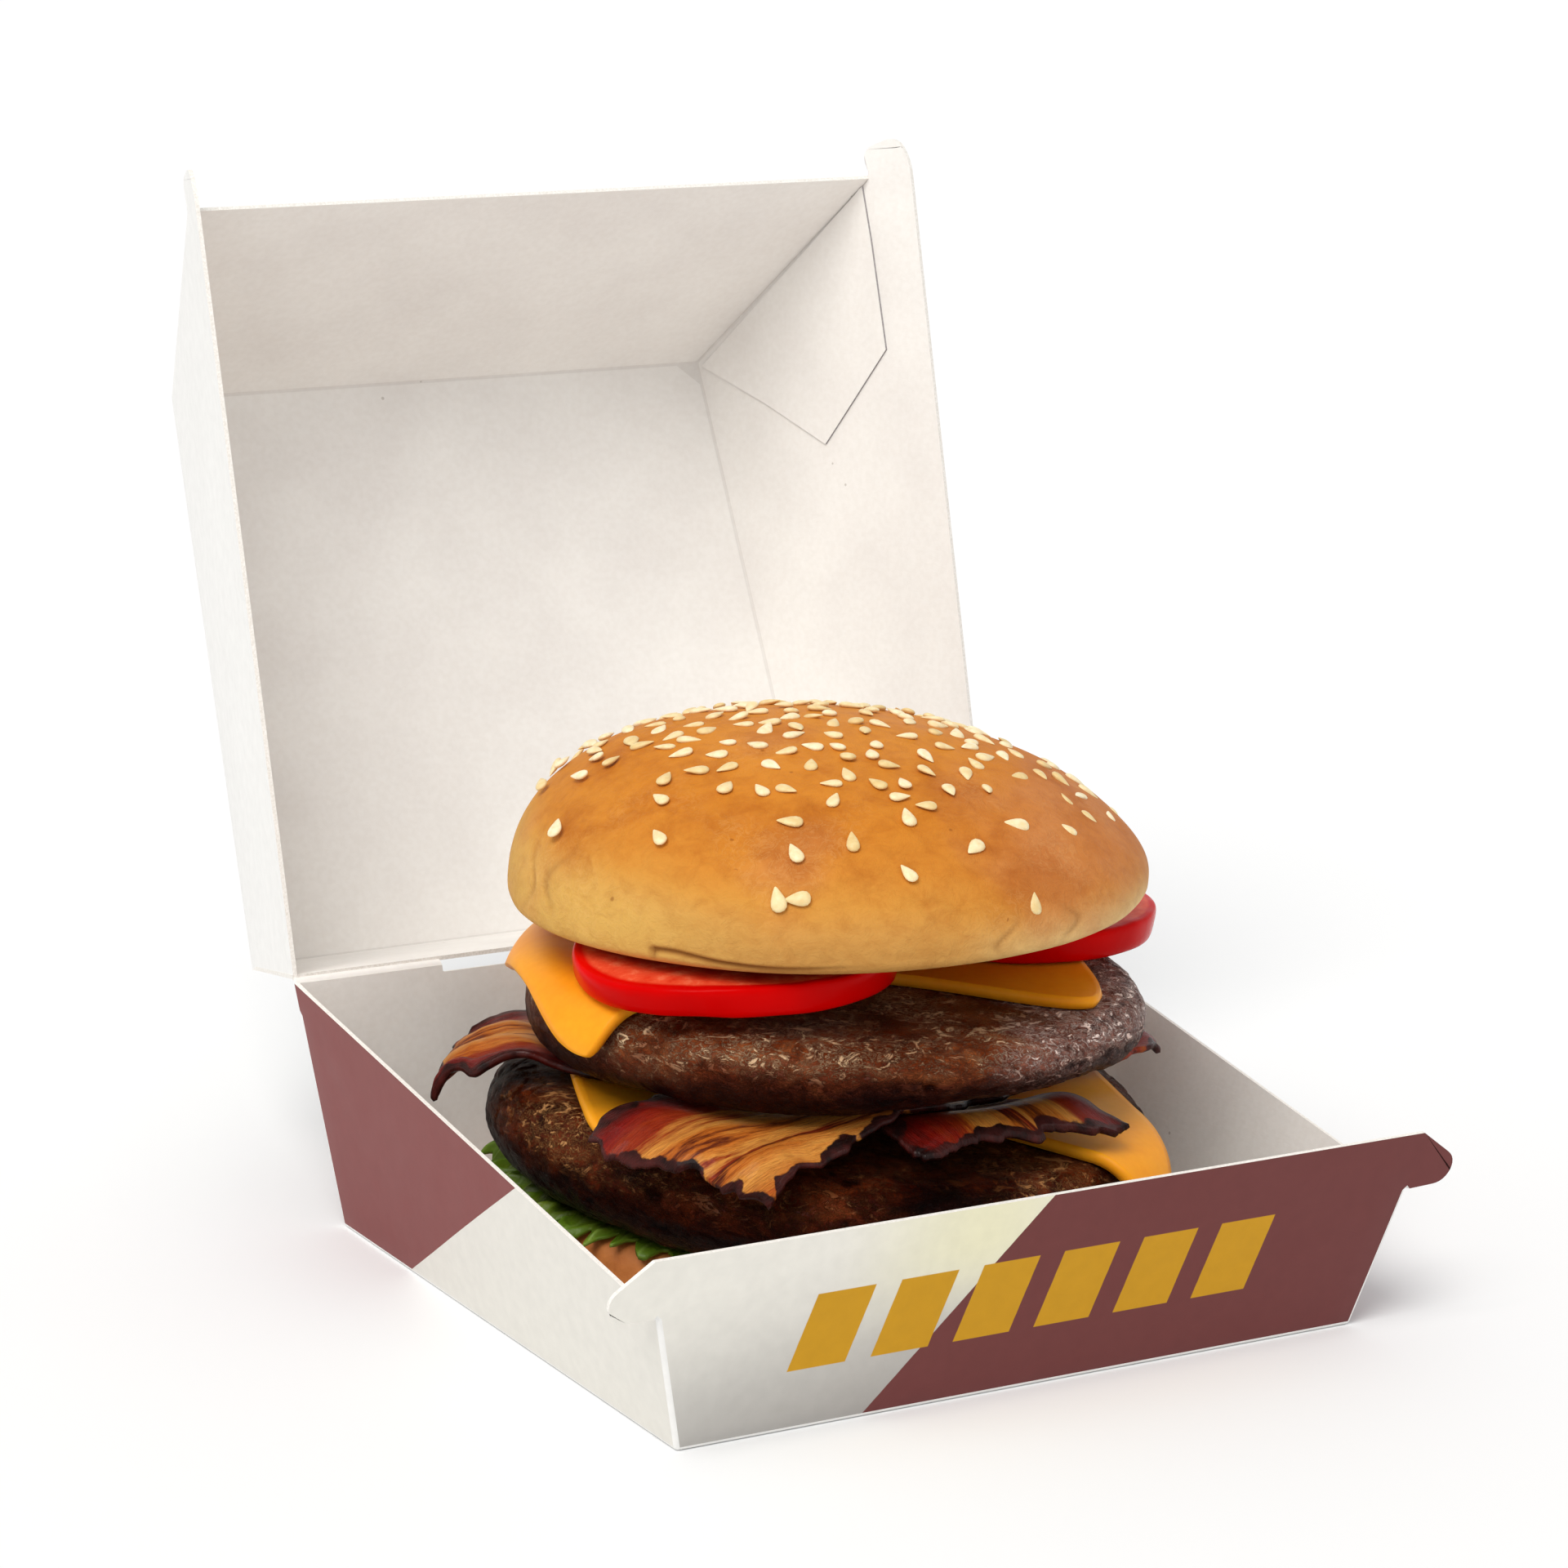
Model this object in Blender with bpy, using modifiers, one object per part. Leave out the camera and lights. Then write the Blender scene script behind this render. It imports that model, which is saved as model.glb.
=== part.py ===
"""A double bacon cheeseburger in an open folded-card clamshell box.

Run with: blender --background --python part.py
Units are metres, +Z is up.  The origin is the middle of the box's underside.
+Y points to the hinge at the back, and the box's front wall faces -Y.
"""

import math
import random

import bmesh
import bpy
from mathutils import Matrix, Vector

# ---------------------------------------------------------------- box sizes
BOARD = 0.0007                  # thickness of the card
BASE_W = 0.1268                 # floor, left to right
BASE_D = 0.1124                 # floor, front to back
BASE_Y = -0.0015                # the floor's middle lies this far forward
OPEN_W = 0.1396                 # opening, left to right
OPEN_D = 0.1236                 # opening, front to back
FRONT_H = 0.0236                # height of the side walls at the front
HINGE_H = 0.0419                # height of the hinge fold at the back
FRONT_TOP_W = 0.1430            # upper edge of the front wall
FRONT_TOP_H = 0.0335
EAR_REACH = 0.0078              # how far the front wall's ears stand out
EAR_ROUND = 0.0020
EAR_UNDERCUT = 0.0018           # how much shorter an ear is at its lower end
EAR_LIFT = 0.0004               # its lower end's height over the side wall
EAR_SHARE = 0.44                # its end's height, as a share of the upper strip
FOLD_GAP = 0.0004               # free space on each side of the hinge axis
SLIT_W = 0.0848                 # slit along the hinge fold
SLIT_H = 0.0012

LID_H = 0.0410                  # lid depth, with the lid closed
LID_OPEN = math.radians(115.4)  # angle from closed to the modelled position
ROOF_W_FRONT = 0.1082
ROOF_W_BACK = 0.1166
ROOF_D = 0.1037
ROOF_Y = 0.0079                 # roof's rear fold, measured from the hinge
LIP_W = 0.1364                  # free edge of the lid's front wall
LIP_Y = 0.1316
LIP_Z = -0.0090
LID_EAR_Y = 0.1366              # rounded ear on the side wall, past the lip
LID_EAR_TOP = -0.0085
LID_EAR_LOW = -0.0187
LID_EAR_W = 0.1412
LID_EAR_ROUND = 0.0028
LID_EAR_SLANT = 0.0050          # how far its lowest corner is cut back
LID_EAR_END = 0.18              # where its straight end starts, as a share of its height
LID_EAR_FLARE = 0.4             # how far out its top lies, from the lip to the end
FLAP_CORNERS = ((0.1001, -0.0044), (0.0877, 0.0146), (0.0989, 0.0262))
FLAP_STANDS_IN = 0.0011         # the glued flap's inner face, from the outside
FLAP_INSET = 0.0012             # its ends' distance from the lip and the roof

# ------------------------------------------------------------- burger sizes
GAP = 0.0003                    # free space between pieces that touch
FACET_ROOM = 0.0018             # a folded sheet's bend starts this far past the flat
STACK_X, STACK_Y = -0.0025, -0.0008
STACK_LEAN = math.radians(3.5)
LEAN_AXIS = Vector((-0.524, -0.852, 0.0))

TO_RIGHT = Vector((0.852, -0.524))       # across the lean, towards its low side
FRONT = math.radians(-121.6)             # direction in which the leaning burger faces

HEEL_R, HEEL_H = 0.0510, 0.0149
HEEL_EDGE = 0.0040
LEAF_R, LEAF_D, LEAF_T = 0.0618, 0.0542, 0.0015      # longest and shortest reach, thickness
LEAF_TURN = math.radians(-31.6)      # direction of the longest reach
LEAF_BEND = 0.0125              # radius over which the leaf droops past the heel
LEAF_LOBE = 0.030               # depth of the leaf's lobes, as a share of its reach
PATTY_T_LOWER, PATTY_T_UPPER = 0.0154, 0.0118
PATTY_R_LOWER, PATTY_R_UPPER = 0.0560, 0.0498
UNDER_RISE, UNDER_DROP, UNDER_SAG = 0.0034, 0.0018, 0.0004   # the upper patty's underside
CHEESE_T = 0.0020
CHEESE_CORNER = 0.070           # how much a slice's corners are cut back
BACON_T = 0.0018
TOMATO_R, TOMATO_T = 0.0256, 0.0050
TOMATO_ROLL = 0.045             # further rise to the right of the left-hand slice
TOMATO_EDGE = 0.0013            # rounding of a tomato slice's rim
BUN_R, BUN_H = 0.0517, 0.0290
BUN_WAIST = 0.0048              # height of the bun's widest ring
BUN_HOLLOW = 0.0010             # how far the crown's underside is hollowed
BUN_LEVELS = math.radians(1.2)  # the crown leans this much less than the stack
BUN_SEAT = math.radians(5.4)    # how far the crown's underside leans from its dome
UPPER_TILT = 0.038              # rise to the right of the upper patty and what lies on it
BACON_ROOM = 0.0024             # height that the wavy bacon takes up
BUN_ROOM = 0.0026               # height that the slices under the crown take up

# Heights of each layer's underside, up the leaning stack from the heel's top.
LEAF_Z = GAP
PATTY_LOWER_Z = LEAF_Z + LEAF_T + GAP
PATTY_UPPER_Z = PATTY_LOWER_Z + PATTY_T_LOWER + CHEESE_T + 2 * BACON_T + 4 * GAP + BACON_ROOM
TOMATO_Z = PATTY_UPPER_Z + PATTY_T_UPPER + CHEESE_T + 2 * GAP
BUN_Z = TOMATO_Z + TOMATO_T + BUN_ROOM

# Where the layers have slid to, across the stack.
PATTY_LOWER_AT = Vector((-0.0006, 0.0003))
PATTY_UPPER_AT = Vector((-0.0028, -0.0013))
BUN_AT = Vector((-0.0036, 0.0042))
TOMATO_LEFT_AT = Vector((-0.0275, -0.0086))
TOMATO_RIGHT_AT = Vector((0.0318, 0.0048))
TOMATO_BEND_LEFT, TOMATO_BEND_RIGHT = 0.0150, 0.0800

# Corners of the cheese slices: reach from the patty's middle, and direction.
CHEESE_LOWER_CORNERS = ((0.0575, -163), (0.0684, -63), (0.060, 25), (0.062, 112))
CHEESE_UPPER_CORNERS = ((0.0590, -168), (0.0472, -54), (0.055, 24), (0.062, 130))
CHEESE_LOWER_BOW, CHEESE_UPPER_BOW = 0.0260, 0.0190   # how far a front edge is drawn in

# Bacon: each rasher's ends, its width and slant there, and how far its middle strays.
BACON_RIGHT_ENDS = (Vector((-0.0582, 0.0322)), Vector((0.0065, -0.0486)))
BACON_LEFT_ENDS = (Vector((-0.0515, -0.0356)), Vector((0.0558, 0.0009)))
BACON_RIGHT_W, BACON_LEFT_W = (0.0235, 0.0365), (0.0365, 0.0230)
BACON_RIGHT_CUT, BACON_LEFT_CUT = (0.0, 0.0120), (0.0025, 0.0)
BACON_RIGHT_BOW, BACON_LEFT_BOW = 0.0100, 0.0
BACON_RIGHT_RISE, BACON_LEFT_RISE = 0.0018, 0.0050    # how far the last corner curls up
BACON_BEND_FRONT, BACON_BEND_BACK = 0.0140, 0.0150    # radii over which the ends droop
BACON_ARCH_LEFT, BACON_ARCH_RIGHT = 0.0004, 0.0048    # hump over the patty's shoulder
BACON_ARCH_AT, BACON_ARCH_W = 0.0425, 0.0080
BACON_LIFT = 0.0010             # height of the ripples in its free ends
BACON_LIFT_FROM, BACON_LIFT_OVER = 0.0460, 0.0140

# Slow unevenness of each outline, as a share of its radius.
HEEL_WAVE, PATTY_WAVE, CROWN_WAVE, BACON_WAVE, LEAF_FRILL = 0.010, 0.012, 0.006, 0.060, 0.45
BACON_TAPER = 0.12              # how much narrower a rasher is at its very ends
BACON_RIPPLES = 9.0             # phase of the ripples from the middle to an end
CROWN_RIM_ROUND, CROWN_RIM_DROP = 0.35, 0.45   # powers that shape the crown below its waist

ROUND_SEGMENTS = 40


# ---------------------------------------------------------------- utilities
def clear_scene():
    for obj in list(bpy.data.objects):
        bpy.data.objects.remove(obj, do_unlink=True)


def new_collection(name):
    collection = bpy.data.collections.new(name)
    bpy.context.scene.collection.children.link(collection)
    return collection


def new_material(name, colour, roughness):
    material = bpy.data.materials.new(name)
    material.use_nodes = True
    shader = material.node_tree.nodes["Principled BSDF"]
    shader.inputs["Base Color"].default_value = (*colour, 1.0)
    shader.inputs["Roughness"].default_value = roughness
    shader.inputs["Metallic"].default_value = 0.0
    return material


def new_object(name, bm, collection, material, smooth=True):
    """Turns a finished bmesh into a named object."""
    bmesh.ops.recalc_face_normals(bm, faces=bm.faces)
    mesh = bpy.data.meshes.new(name)
    bm.to_mesh(mesh)
    bm.free()
    mesh.materials.append(material)
    if smooth:
        mesh.shade_smooth()
        mesh.set_sharp_from_angle(angle=math.radians(50))
    obj = bpy.data.objects.new(name, mesh)
    collection.objects.link(obj)
    return obj


def add_solidify(obj, thickness):
    """Gives a folded sheet its thickness, inwards from its outer face."""
    modifier = obj.modifiers.new("card", "SOLIDIFY")
    modifier.thickness = thickness
    modifier.offset = -1.0
    modifier.use_even_offset = True


def add_boolean(obj, cutter, operation):
    modifier = obj.modifiers.new(cutter.name, "BOOLEAN")
    modifier.operation = operation
    modifier.solver = "EXACT"
    modifier.object = cutter


def hide_cutter(obj):
    obj.hide_render = True
    obj.display_type = "WIRE"


def mix(low, high, share):
    return low + (high - low) * share


def smoothstep(low, high, value):
    share = min(1.0, max(0.0, (value - low) / (high - low)))
    return share * share * (3.0 - 2.0 * share)


# ---------------------------------------------------------------- card box
def front_wall_y(z):
    """The front wall's outer face, at a height on it."""
    low = BASE_Y - BASE_D / 2
    return mix(low, -OPEN_D / 2, z / FRONT_H)


def tray_sheet():
    """The tray's floor and four walls, as one folded sheet."""
    bm = bmesh.new()
    bmesh.ops.create_cube(bm, size=2.0)
    for vert in bm.verts:
        side, depth, up = vert.co
        if up < 0:
            vert.co = Vector((side * BASE_W / 2, BASE_Y + depth * BASE_D / 2, 0.0))
        else:
            height = FRONT_H if depth < 0 else HINGE_H - FOLD_GAP
            vert.co = Vector((side * OPEN_W / 2, depth * OPEN_D / 2, height))
    open_top = max(bm.faces, key=lambda face: face.calc_center_median().z)
    bmesh.ops.delete(bm, geom=[open_top], context="FACES_ONLY")
    return bm


def raise_front_wall(bm):
    """Folds the front wall's upper strip on, with an ear at each end."""
    notches = [v for v in bm.verts if v.co.y < 0 and v.co.z > FRONT_H / 2]
    edge = bm.edges.get(notches)
    strip = bmesh.ops.extrude_edge_only(bm, edges=[edge])["geom"]
    tops = [item for item in strip if isinstance(item, bmesh.types.BMVert)]
    for vert in tops:
        side = math.copysign(1.0, vert.co.x)
        vert.co = Vector((side * FRONT_TOP_W / 2, front_wall_y(FRONT_TOP_H), FRONT_TOP_H))
    tips = []
    for top in tops:
        side = math.copysign(1.0, top.co.x)
        notch = min(notches, key=lambda v: (v.co - top.co).length)
        end = bm.edges.get((top, notch))
        ear = bmesh.ops.extrude_edge_only(bm, edges=[end])["geom"]
        corners = [item for item in ear if isinstance(item, bmesh.types.BMVert)]
        corners.sort(key=lambda v: v.co.z)
        reach = FRONT_TOP_W / 2 + EAR_REACH
        lower_z = FRONT_H + EAR_LIFT
        upper_z = mix(FRONT_H, FRONT_TOP_H, EAR_SHARE)
        corners[0].co = Vector((side * (reach - EAR_UNDERCUT), front_wall_y(lower_z), lower_z))
        corners[1].co = Vector((side * reach, front_wall_y(upper_z), upper_z))
        tips += corners
    bmesh.ops.bevel(bm, geom=tips, offset=EAR_ROUND, segments=4, profile=0.5,
                    affect="VERTICES", clamp_overlap=True)


def box_base(collection, cutters, card):
    bm = tray_sheet()
    raise_front_wall(bm)
    tray = new_object("box_base", bm, collection, card, smooth=False)
    add_solidify(tray, BOARD)
    slit = bmesh.new()
    bmesh.ops.create_cube(slit, size=1.0, matrix=Matrix.Diagonal((SLIT_W, 0.01, 2 * SLIT_H, 1)))
    cutter = new_object("slit_cutter", slit, cutters, card, smooth=False)
    cutter.location = (0.0, OPEN_D / 2, HINGE_H - FOLD_GAP)
    hide_cutter(cutter)
    add_boolean(tray, cutter, "DIFFERENCE")
    return tray


def lid_sheet():
    """The lid's roof and four walls in the closed position, hinge at Y = 0."""
    bm = bmesh.new()
    bmesh.ops.create_cube(bm, size=2.0)
    for vert in bm.verts:
        side, depth, up = vert.co
        if up > 0 and depth > 0:
            vert.co = Vector((side * ROOF_W_BACK / 2, -ROOF_Y, LID_H))
        elif up > 0:
            vert.co = Vector((side * ROOF_W_FRONT / 2, -ROOF_Y - ROOF_D, LID_H))
        elif depth > 0:
            vert.co = Vector((side * OPEN_W / 2, -FOLD_GAP, FOLD_GAP))
        else:
            vert.co = Vector((side * LIP_W / 2, -LIP_Y, LIP_Z))
    open_face = min(bm.faces, key=lambda face: face.calc_center_median().z)
    bmesh.ops.delete(bm, geom=[open_face], context="FACES_ONLY")
    return bm


def add_lid_skirts(bm):
    """Carries the side walls down past the lip, each to a rounded ear."""
    tips = []
    for side in (-1, 1):
        below = [v for v in bm.verts if v.co.x * side > 0 and v.co.z < LID_H / 2]
        below.sort(key=lambda v: v.co.y)
        lip, hinge = below
        ear_x = side * LID_EAR_W / 2
        low = bm.verts.new((ear_x, -LID_EAR_Y + LID_EAR_SLANT, LID_EAR_LOW))
        end = bm.verts.new((ear_x, -LID_EAR_Y, mix(LID_EAR_LOW, LID_EAR_TOP, LID_EAR_END)))
        top = bm.verts.new((mix(lip.co.x, ear_x, LID_EAR_FLARE), -LID_EAR_Y, LID_EAR_TOP))
        bm.faces.new((hinge, lip, top, end, low))
        tips += [low, end, top]
    bmesh.ops.recalc_face_normals(bm, faces=bm.faces)
    bmesh.ops.bevel(bm, geom=tips, offset=LID_EAR_ROUND, segments=3, profile=0.5,
                    affect="VERTICES", clamp_overlap=True)


def glued_flap(side, cutters, card):
    """The front wall's glue flap, lying on the inside of a side wall."""
    places = [(LIP_Y - FLAP_INSET, LIP_Z + FLAP_INSET), *FLAP_CORNERS,
              (ROOF_Y + ROOF_D - FLAP_INSET, LID_H - FLAP_INSET)]
    wall = [Vector((OPEN_W / 2, 0.0, 0.0)), Vector((LIP_W / 2, -LIP_Y, LIP_Z)),
            Vector((ROOF_W_FRONT / 2, -ROOF_Y - ROOF_D, LID_H))]
    normal = (wall[1] - wall[0]).cross(wall[2] - wall[0]).normalized()
    if normal.x > 0:
        normal = -normal
    bm = bmesh.new()
    corners = []
    for y, z in places:
        on_wall = Vector((0.0, -y, z))
        on_wall.x = wall[0].x - normal.dot(on_wall) / normal.x
        on_wall += normal * (BOARD * 0.5)
        corners.append(bm.verts.new((side * on_wall.x, on_wall.y, on_wall.z)))
    face = bm.faces.new(corners)
    grown = bmesh.ops.extrude_face_region(bm, geom=[face])["geom"]
    inward = Vector((side * normal.x, normal.y, normal.z)) * (FLAP_STANDS_IN - BOARD * 0.5)
    for item in grown:
        if isinstance(item, bmesh.types.BMVert):
            item.co += inward
    flap = new_object(f"flap_{'left' if side < 0 else 'right'}", bm, cutters, card, smooth=False)
    hide_cutter(flap)
    return flap


def box_lid(collection, cutters, card, hinge):
    bm = lid_sheet()
    add_lid_skirts(bm)
    lid = new_object("box_lid", bm, collection, card, smooth=False)
    add_solidify(lid, BOARD)
    lid.parent = hinge
    for side in (-1, 1):
        flap = glued_flap(side, cutters, card)
        flap.parent = hinge
        add_boolean(lid, flap, "UNION")
    return lid


# ------------------------------------------------------------ burger layers
def uneven(seed, amount, waves=(2, 3, 5, 7)):
    """A closed outline's factor by direction: 1 with a few gentle waves."""
    rng = random.Random(seed)
    terms = [(k, amount / math.sqrt(k), rng.uniform(0, math.tau)) for k in waves]
    return lambda angle: 1.0 + sum(a * math.cos(k * angle + p) for k, a, p in terms)


def slab(bm, thickness):
    """Makes a flat sheet at Z = 0 into a closed slab that stands on it."""
    grown = bmesh.ops.extrude_face_region(bm, geom=list(bm.faces))["geom"]
    for item in grown:
        if isinstance(item, bmesh.types.BMVert):
            item.co.z += thickness


class Patty:
    """A patty's outline, which the slices and rashers on it fold over."""

    def __init__(self, radius, thickness, underside, centre, seed, tilt):
        self.radius = radius
        self.edge = thickness / 2
        self.underside = underside
        self.top = underside + thickness
        self.centre = centre
        self.wave = uneven(seed, PATTY_WAVE)
        self.tilt = tilt

    def flat_radius(self, angle):
        return self.radius * self.wave(angle) - self.edge

    def under_shift(self, x, y):
        """Rise of the underside: drawn up on the right, hanging on the left."""
        side = Vector((x, y)).dot(TO_RIGHT) / self.radius
        up = smoothstep(-0.1, 0.5, side) * (1 - 0.7 * smoothstep(0.7, 1.0, side))
        down = smoothstep(0.55, 0.85, -side) * UNDER_DROP + smoothstep(0.1, 0.5, -side) * UNDER_SAG
        return UNDER_RISE * up - down

    def tilted(self, point):
        """Raises a point by its place across the stack, as the patty lies."""
        return point + Vector((0.0, 0.0, self.tilt * point.xy.dot(TO_RIGHT)))

    def fold(self, x, y, above, bend, height):
        """Lays a point of a flat sheet over the patty.

        x, y are from the patty's middle, above is the sheet's clearance over
        the top, bend its bending radius past the edge, and height the point's
        own height in the sheet.
        """
        reach = math.hypot(x, y)
        angle = math.atan2(y, x)
        flat = self.flat_radius(angle) + FACET_ROOM
        level = self.top + above
        past = max(0.0, reach - flat)
        turn = min(past / bend, math.pi / 2)
        hang = max(0.0, past - bend * math.pi / 2)
        out = min(reach, flat) + (bend + height) * math.sin(turn)
        drop = bend - (bend + height) * math.cos(turn) + hang
        return self.tilted(Vector((self.centre.x + out * math.cos(angle),
                                   self.centre.y + out * math.sin(angle), level - drop)))


def round_slab(radius, depth, segments, rounding, steps):
    """A flat cylinder about the origin with rounded rims."""
    bm = bmesh.new()
    bmesh.ops.create_cone(bm, cap_ends=True, segments=segments, radius1=radius, radius2=radius,
                          depth=depth)
    rims = [edge for edge in bm.edges if abs(edge.verts[0].co.z - edge.verts[1].co.z) < 1e-6]
    bmesh.ops.bevel(bm, geom=rims, offset=rounding, segments=steps, profile=0.5, affect="EDGES")
    return bm


def patty_body(name, patty, collection, material):
    """A round slab with a full rounded side and an uneven outline."""
    bm = round_slab(patty.radius, 2 * patty.edge, ROUND_SEGMENTS, patty.edge * 0.99, 4)
    for vert in bm.verts:
        angle = math.atan2(vert.co.y, vert.co.x)
        push = patty.radius * (patty.wave(angle) - 1.0)
        spot = vert.co + Vector((push * math.cos(angle), push * math.sin(angle), 0.0))
        if patty.tilt:
            spot.z += patty.under_shift(spot.x, spot.y) * (0.5 - 0.5 * vert.co.z / patty.edge)
        middle = Vector((*patty.centre, patty.underside + patty.edge))
        vert.co = patty.tilted(spot + middle)
    return new_object(name, bm, collection, material)


def bun_heel(collection, material):
    """The lower bun half: flat below, its top level with the leaning stack."""
    bm = round_slab(HEEL_R, HEEL_H, ROUND_SEGMENTS, HEEL_EDGE, 3)
    slope = Matrix.Rotation(-STACK_LEAN, 3, LEAN_AXIS) @ Vector((0, 0, 1))
    wave = uneven(3, HEEL_WAVE)
    for vert in bm.verts:
        factor = wave(math.atan2(vert.co.y, vert.co.x))
        vert.co.x *= factor
        vert.co.y *= factor
        share = vert.co.z / HEEL_H + 0.5
        vert.co.z -= share * (slope.x * vert.co.x + slope.y * vert.co.y) / slope.z
        vert.co += Vector((STACK_X, STACK_Y, BOARD + GAP + HEEL_H / 2))
    return new_object("bun_bottom", bm, collection, material)


def lettuce_leaf(collection, material):
    """A leaf wider than the heel, with a frilled edge that droops."""
    bm = bmesh.new()
    bmesh.ops.create_uvsphere(bm, u_segments=56, v_segments=10, radius=1.0)
    lobes = uneven(11, LEAF_LOBE, (5, 9, 14))
    frill = uneven(12, LEAF_FRILL, (7, 11, 16))
    for vert in bm.verts:
        angle = math.atan2(vert.co.y, vert.co.x)
        share = vert.co.xy.length
        turn = angle - LEAF_TURN
        outline = LEAF_R * LEAF_D / math.hypot(LEAF_D * math.cos(turn), LEAF_R * math.sin(turn))
        radius = share * outline * (1.0 - LEAF_LOBE + (lobes(angle) - 1.0) * share ** 4)
        free = max(0.0, radius - (HEEL_R - HEEL_EDGE))
        droop = free ** 2 / (2 * LEAF_BEND) * (1.0 + 0.5 * (frill(angle) - 1.0))
        z = LEAF_Z + (0.5 + 0.5 * vert.co.z) * LEAF_T - droop
        vert.co = Vector((radius * math.cos(angle), radius * math.sin(angle), z))
    return new_object("lettuce", bm, collection, material)


def cheese_slice(name, patty, corners, bow, collection, material):
    """A slice laid on a patty, its corners folded down over the edge."""
    bm = bmesh.new()
    bmesh.ops.create_grid(bm, x_segments=17, y_segments=17, size=1.0)
    slab(bm, CHEESE_T)
    spots = [Vector((r * math.cos(math.radians(a)), r * math.sin(math.radians(a))))
             for r, a in corners]
    inward = (spots[2] + spots[3] - spots[0] - spots[1]).normalized()
    for vert in bm.verts:
        u, v, height = vert.co
        rounding = 1.0 - CHEESE_CORNER * (abs(u) * abs(v)) ** 6
        across, back = 0.5 + 0.5 * u * rounding, 0.5 + 0.5 * v * rounding
        flat = mix(mix(spots[0], spots[1], across), mix(spots[3], spots[2], across), back)
        flat += inward * (bow * (1 - u * u) ** 2 * (0.5 - 0.5 * v) ** 3)
        vert.co = patty.fold(flat.x, flat.y, GAP, patty.edge + GAP, height)
    return new_object(name, bm, collection, material)


def bacon_arch(spot, facing):
    """The rashers' hump where they come out over the patty's front shoulder."""
    side = smoothstep(-0.35, 0.45, spot.dot(TO_RIGHT) / max(spot.length, 1e-6))
    height = mix(BACON_ARCH_LEFT, BACON_ARCH_RIGHT, side) * smoothstep(0.0, 0.6, facing)
    return height * math.exp(-((spot.length - BACON_ARCH_AT) / BACON_ARCH_W) ** 2)


def bacon_rasher(name, patty, ends, widths, cut, bow, rise, above, seed, collection, material):
    """A wavy strip that runs through the burger, its ends drooping outside."""
    bm = bmesh.new()
    bmesh.ops.create_grid(bm, x_segments=32, y_segments=9, size=1.0)
    slab(bm, BACON_T)
    start, end = ends
    along = (end - start).normalized()
    across = Vector((-along.y, along.x))
    edge_wave = uneven(seed, BACON_WAVE, (3, 5, 8))
    ripple = random.Random(seed).uniform(0, math.tau)
    for vert in bm.verts:
        u, v, height = vert.co
        half = mix(widths[0], widths[1], 0.5 + 0.5 * u) / 2
        half *= (1.0 - BACON_TAPER * abs(u) ** 6) * edge_wave(u * math.pi / 2 + v)
        slant = (cut[1] if u > 0 else -cut[0]) * v * u * u
        reach = (end - start).length * (0.5 + 0.5 * u) + slant
        flat = start + along * reach + across * (v * half + bow * (1 - u * u))
        facing = math.cos(math.atan2(flat.y, flat.x) - FRONT)
        bend = mix(BACON_BEND_BACK, BACON_BEND_FRONT, smoothstep(0.15, 0.75, facing))
        free = smoothstep(BACON_LIFT_FROM, BACON_LIFT_FROM + BACON_LIFT_OVER, flat.length)
        lift = bacon_arch(flat, facing) + rise * max(0.0, u) ** 8 * (0.5 + 0.5 * v)
        lift += BACON_LIFT * free * (1.0 + math.sin(BACON_RIPPLES * u + 2.0 * v + ripple))
        vert.co = patty.fold(flat.x, flat.y, above + lift, bend, height)
    return new_object(name, bm, collection, material)


def tomato_slice(name, at, bend, roll, patty, collection, material):
    """A round slice that droops past the patty and rises to the right."""
    bm = round_slab(TOMATO_R, TOMATO_T, 28, TOMATO_EDGE, 2)
    caps = [face for face in bm.faces if len(face.verts) > 8]
    for _ in range(3):
        bmesh.ops.inset_region(bm, faces=caps, thickness=TOMATO_R / 4)
    for vert in bm.verts:
        x = vert.co.x + at.x - patty.centre.x
        y = vert.co.y + at.y - patty.centre.y
        vert.co = patty.fold(x, y, CHEESE_T + 2 * GAP, bend, vert.co.z + TOMATO_T / 2)
        vert.co.z += roll * (TOMATO_R + (vert.co.xy - at).dot(TO_RIGHT))
    return new_object(name, bm, collection, material)


def crown_outline(up, share):
    """(share of the radius, height) for a point on the unit sphere it starts from."""
    if up >= 0:
        return share, BUN_WAIST + (BUN_H - BUN_WAIST) * up
    radius = share ** CROWN_RIM_ROUND if share > 0 else 0.0
    height = BUN_WAIST * (1.0 - (-up) ** CROWN_RIM_DROP)
    if up < -0.9:
        height += BUN_HOLLOW * (1.0 - radius ** 3)
    return radius, height


def bun_crown(collection, material):
    """The upper bun half: a dome with a rounded rim and a hollowed underside."""
    bm = bmesh.new()
    bmesh.ops.create_uvsphere(bm, u_segments=ROUND_SEGMENTS, v_segments=18, radius=1.0)
    wave = uneven(21, CROWN_WAVE)
    for vert in bm.verts:
        angle = math.atan2(vert.co.y, vert.co.x)
        share, height = crown_outline(vert.co.z, vert.co.xy.length)
        radius = share * BUN_R * wave(angle)
        spot = Vector((radius * math.cos(angle), radius * math.sin(angle)))
        seat = math.tan(BUN_SEAT) * spot.dot(TO_RIGHT) * (1 - height / BUN_H) ** 2
        vert.co = Vector((*spot, height + seat))
    crown = new_object("bun_top", bm, collection, material)
    crown.location = (BUN_AT.x, BUN_AT.y, BUN_Z)
    crown.rotation_mode = "QUATERNION"
    crown.rotation_quaternion = Matrix.Rotation(BUN_LEVELS, 3, LEAN_AXIS).to_quaternion()
    return crown


def empty(name, collection, location):
    """A frame that carries objects; it has no shape of its own."""
    obj = bpy.data.objects.new(name, None)
    collection.objects.link(obj)
    obj.location = location
    return obj


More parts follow.
